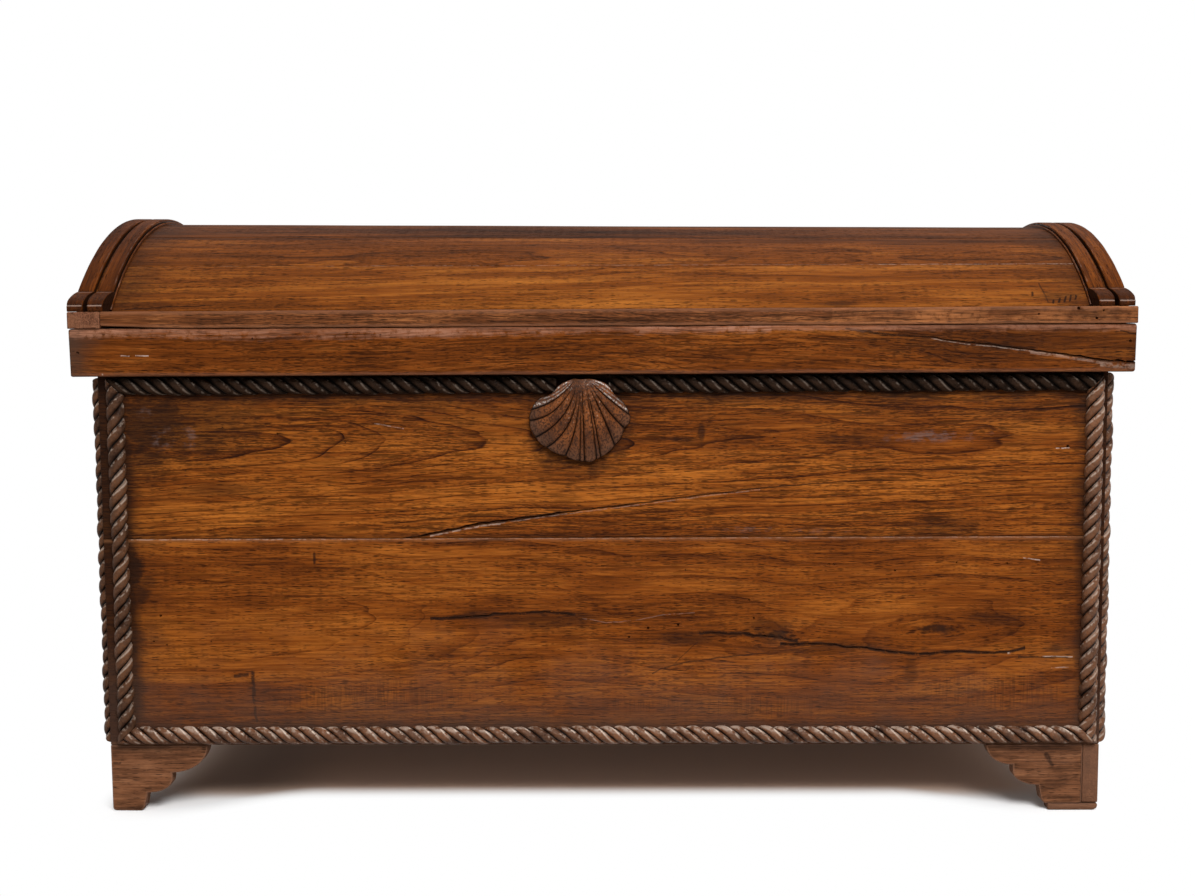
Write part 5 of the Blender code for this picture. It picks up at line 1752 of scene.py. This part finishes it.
hinge = {
    "bevel": 0.0004, "nailRadius": 0.0038, "nailHeight": 0.0016, "nailSides": 7, "leaf": 0.0025,
    "caseNails": ((-0.024, 0.018), (0.024, 0.018), (-0.02, 0.05), (0.02, 0.05)), "caseProud": 0.0004,
    "lidNails": (-0.026, 0.0, 0.026), "lidInset": 0.0055, "lidProud": 0.0003,
    "wallNails": (0.115, 0.205, 0.3, 0.372, 0.44, 0.505), "wallInset": 0.011, "wallProud": 0.0003,
}
iron = {"dark": (0.022, 0.02, 0.019), "light": (0.075, 0.069, 0.063), "rust": (0.085, 0.032, 0.012)}


def makeForgedIron():
    material, shader, place = startMaterial("forged iron")
    beaten = noiseField(place, 130.0, 3.0, 0.55)
    rust = fade(noiseField(place, 70.0, 5.0, 0.7), 0.5, 0.68)
    colour = mixColour(fade(beaten, 0.3, 0.7), iron["dark"], iron["light"])
    colour = mixColour(times(rust, 0.7), colour, iron["rust"])
    feed(shader.inputs["Metallic"], scaled(rust, -0.7, 0.85))
    rough = plus(addUp((0.3, rust), (0.25, beaten)), 0.34)
    finishShader(shader, colour, rough, addUp((1.0, beaten), (0.3, rust)), 0.6, 0.001)
    return material


def dressIron(node, material):
    # A copy of the forged shape with its edges eased
    bm = bmesh.new()
    bm.from_mesh(frame["nodes"][node].data)
    bmesh.ops.remove_doubles(bm, verts=bm.verts, dist=0.00001)
    bmesh.ops.dissolve_limit(bm, angle_limit=math.radians(1), verts=bm.verts, edges=bm.edges)
    sharp = [edge for edge in bm.edges if edge.calc_face_angle(0.0) > math.radians(40)]
    bmesh.ops.bevel(
        bm, geom=sharp, offset=hinge["bevel"], segments=2, profile=0.5, affect="EDGES", clamp_overlap=True
    )
    finishPiece(addObject(node + "_dressed", bm), node, material, 0.0, 35)


def makeNailTree():
    tree, given, identifiers = startTree("forged nails", {
        "Float": "Radius, Height", "Int": "Sides, Seed", "Vector": "Tilt", "Material": "Material",
    })
    head = joinNode("GeometryNodeMeshCone", {
        "Vertices": given["Sides"], "Side Segments": 2, "Radius Top": times(given["Radius"], 0.35),
        "Radius Bottom": given["Radius"], "Depth": given["Height"],
    }).outputs[0]
    turns = {0: (-0.12, -0.12, 0.0), 1: (0.12, 0.12, 6.28), "Seed": given["Seed"]}
    spin = joinNode("FunctionNodeRandomValue", turns, data_type="FLOAT_VECTOR").outputs[0]
    sizes = {2: 0.8, 3: 1.15, "Seed": given["Seed"]}
    size = joinNode("FunctionNodeRandomValue", sizes, data_type="FLOAT").outputs[1]
    angles = (spin, given["Tilt"])
    rough, facing = (joinNode("FunctionNodeEulerToRotation", {0: angle}).outputs[0] for angle in angles)
    both = {0: rough, 1: facing}
    turned = joinNode("FunctionNodeRotateRotation", both, rotation_space="GLOBAL").outputs[0]
    spread = {"Points": given["Geometry"], "Instance": head, "Rotation": turned, "Scale": size}
    endTree(joinNode("GeometryNodeInstanceOnPoints", spread).outputs[0], given["Material"])
    return tree, identifiers


def addNails(name, body, points, tilt, scale, material, seed):
    spots = bpy.data.meshes.new(name + "_spots")
    spots.from_pydata(points, [], [])
    mesh = runTree(name, nailTree, nailSockets, {
        "Radius": hinge["nailRadius"] * scale, "Height": hinge["nailHeight"] * scale,
        "Sides": hinge["nailSides"], "Tilt": tilt, "Seed": seed, "Material": material,
    }, spots)
    piece = bpy.data.objects.new(name, mesh)
    bpy.context.scene.collection.objects.link(piece)
    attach(piece, body)


nailTree, nailSockets = makeNailTree()
forgedIron = makeForgedIron()
for name in ("left", "right"):
    for part in ("case_leaf", "lid_leaf", "pin"):
        dressIron(f"{name}_hinge_{part}", forgedIron)
    low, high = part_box(f"{name}_hinge_case_leaf")
    middle = (low.x + high.x) / 2
    leafFace = caseHalfDepth + fit + hinge["leaf"] + hinge["caseProud"]
    points = [(middle + across, leafFace, low.z + up) for across, up in hinge["caseNails"]]
    addNails(f"{name}_case_leaf_nails", "case", points, (-math.pi / 2, 0.0, 0.0), 1.0, forgedIron, 3)
    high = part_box(f"{name}_hinge_lid_leaf")[1]
    leafFace = high.z - hinge["leaf"] - hinge["lidProud"]
    points = [(middle + across, high.y - hinge["lidInset"], leafFace) for across in hinge["lidNails"]]
    addNails(f"{name}_lid_leaf_nails", "lid", points, (math.pi, 0.0, 0.0), 0.75, forgedIron, 5)
nailRow = caseHalfWidth - hinge["wallInset"]
points = [
    (side * nailRow, caseHalfDepth + hinge["wallProud"], height)
    for side in (-1, 1) for height in hinge["wallNails"]
]
addNails("back_wall_nails", "case", points, (-math.pi / 2, 0.0, 0.0), 0.9, forgedIron, 9)
print("trunk: hinges and nails in place")


# Floor, light and camera

stage = {
    "floorSize": 14.0, "floorDrop": 0.0003, "floor": (0.93, 0.93, 0.93), "bounce": (0.42, 0.4, 0.38),
    "halfWidth": 0.575, "front": -0.17, "back": 0.27, "far": 0.06,
    "under": (1.0, 0.7, 0.53), "underBack": (0.2, 0.05), "underSide": (0.6, 0.5),
    # under, deep and haze paint light into the floor: a warm bounce under the trunk, a deeper shadow at its
    # left end and a faint warm glow
    "deep": (0.36, 0.26, 0.2), "deepSide": (-0.33, -0.46), "wedge": 0.088, "wedgeSide": (0.36, 0.56),
    "haze": 0.028, "hazeColour": (1.0, 0.66, 0.52), "hazeEnd": 0.1, "white": (1.0, 1.0, 1.0),
    "sky": 0.6, "horizon": 0.07,
}
lamps = {
    "key": {"place": (0.8, -2.55, 2.7), "aim": (0.0, -0.2, 0.35), "size": 1.5, "power": 129.0, "shine": True},
    "fill": {"place": (-2.3, -2.2, 1.3), "aim": (-0.1, 0.0, 0.3), "size": 1.6, "power": 9.0, "shine": True},
    "back": {"place": (0.3, 2.4, 2.6), "aim": (0.0, 0.1, 0.4), "size": 2.2, "power": 40.0, "shine": False},
}
view = {
    "place": (0.0235, -2.0499, 0.609), "yaw": -0.88, "pitch": -5.31, "roll": -0.33, "focal": 1500.0,
    "frame": 1195.0,
}


def seenRay(tree):
    # 1 for rays that show the background: from the camera, in reflections and through clear things
    path = tree.nodes.new("ShaderNodeLightPath").outputs
    total = plus(path["Is Camera Ray"], path["Is Glossy Ray"])
    return plus(total, path["Is Transmission Ray"], clamp=True)


def addFloor():
    # White away from the trunk; near and under it a matt floor with painted light: a warm painted bounce in
    # the shadow, a painted shadow deeper at its left end and a faint warm painted glow
    bm = bmesh.new()
    bmesh.ops.create_grid(bm, x_segments=8, y_segments=8, size=stage["floorSize"] / 2)
    bmesh.ops.translate(bm, verts=bm.verts, vec=(0.0, 0.0, -stage["floorDrop"]))
    floor = addObject("floor", bm)
    material, shader, place = startMaterial("pale floor")
    tree = material.node_tree
    tree.nodes.remove(shader)
    parts = split(place)
    across, back = parts["X"], parts["Y"]
    aside = calc("ABSOLUTE", across)
    outX = most(minus(aside, stage["halfWidth"]), 0.0)
    outY = most(minus(stage["front"], back), minus(back, stage["back"]))
    below = times(fade(outY, stage["far"], 0.0), fade(back, *stage["underBack"]),
                  fade(aside, *stage["underSide"]))
    outY = scaled(fade(aside, *stage["wedgeSide"]), -stage["wedge"], outY)
    far = fade(vectorCalc("LENGTH", join(outX, most(outY, 0.0), 0.0)), 0.0, stage["far"])
    seen = seenRay(tree)
    # Painted bounce: the floor turns warm under the trunk
    plain = mixColour(below, stage["floor"], stage["under"])
    # Painted shadow, deeper towards the trunk's left end
    plain = mixColour(times(below, fade(across, *stage["deepSide"])), plain, stage["deep"])
    matt = joinNode("ShaderNodeBsdfDiffuse", {"Color": mixColour(seen, stage["bounce"], plain)}).outputs[0]
    # A faint warm painted glow in the floor's shadow near the trunk
    haze = mixColour(fade(far, 0.0, stage["hazeEnd"]), stage["hazeColour"], stage["white"])
    white = joinNode("ShaderNodeEmission", {"Color": haze, "Strength": 1.0}).outputs[0]
    share = times(most(far, stage["haze"]), seen)
    mixed = joinNode("ShaderNodeMixShader", {0: share, 1: matt, 2: white}).outputs[0]
    feed(tree.nodes["Material Output"].inputs["Surface"], mixed)
    floor.data.materials.append(material)


def addWorld():
    # White backdrop for the eye and, low behind the trunk, in reflections; soft light comes from above
    world = bpy.data.worlds.new("white studio")
    bpy.context.scene.world = world
    world.use_nodes = True
    tree = world.node_tree
    sky = tree.nodes["Background"]
    way = split(addNode(tree, "ShaderNodeTexCoord").outputs["Generated"])
    soft = scaled(fade(way["Z"], 0.05, 0.85), stage["sky"], stage["horizon"])
    behind = times(fade(way["Y"], 0.0, 0.3), fade(way["Z"], 0.26, 0.08))
    path = tree.nodes.new("ShaderNodeLightPath").outputs
    white = most(path["Is Camera Ray"], times(seenRay(tree), behind))
    sky.inputs["Color"].default_value = (*stage["white"], 1.0)
    feed(sky.inputs["Strength"], most(soft, white))


def addLamps():
    for name, lamp in lamps.items():
        light = bpy.data.lights.new(name + " softbox", "AREA")
        light.shape = "SQUARE"
        light.size = lamp["size"]
        light.energy = lamp["power"]
        made = bpy.data.objects.new(name + " softbox", light)
        made.location = lamp["place"]
        aim = Vector(lamp["aim"]) - Vector(lamp["place"])
        made.rotation_euler = aim.to_track_quat("-Z", "Y").to_euler()
        made.visible_glossy = lamp["shine"]
        bpy.context.scene.collection.objects.link(made)


def addCamera():
    yaw, pitch, roll = (math.radians(view[key]) for key in ("yaw", "pitch", "roll"))
    forward = Vector((math.sin(yaw) * math.cos(pitch), math.cos(yaw) * math.cos(pitch), math.sin(pitch)))
    right = Vector((math.cos(yaw), -math.sin(yaw), 0.0))
    up = right.cross(forward)
    right, up = right * math.cos(roll) + up * math.sin(roll), up * math.cos(roll) - right * math.sin(roll)
    lens = bpy.data.cameras.new("camera")
    lens.sensor_fit = "HORIZONTAL"
    lens.sensor_width = 36.0
    lens.lens = lens.sensor_width * view["focal"] / view["frame"]
    camera = bpy.data.objects.new("camera", lens)
    turned = Matrix((right, up, -forward)).transposed()
    camera.matrix_world = Matrix.Translation(view["place"]) @ turned.to_4x4()
    bpy.context.scene.collection.objects.link(camera)
    bpy.context.scene.camera = camera


addFloor()
addWorld()
addLamps()
addCamera()
bpy.context.scene.view_settings.view_transform = "Standard"
print("trunk: floor, light and camera set")
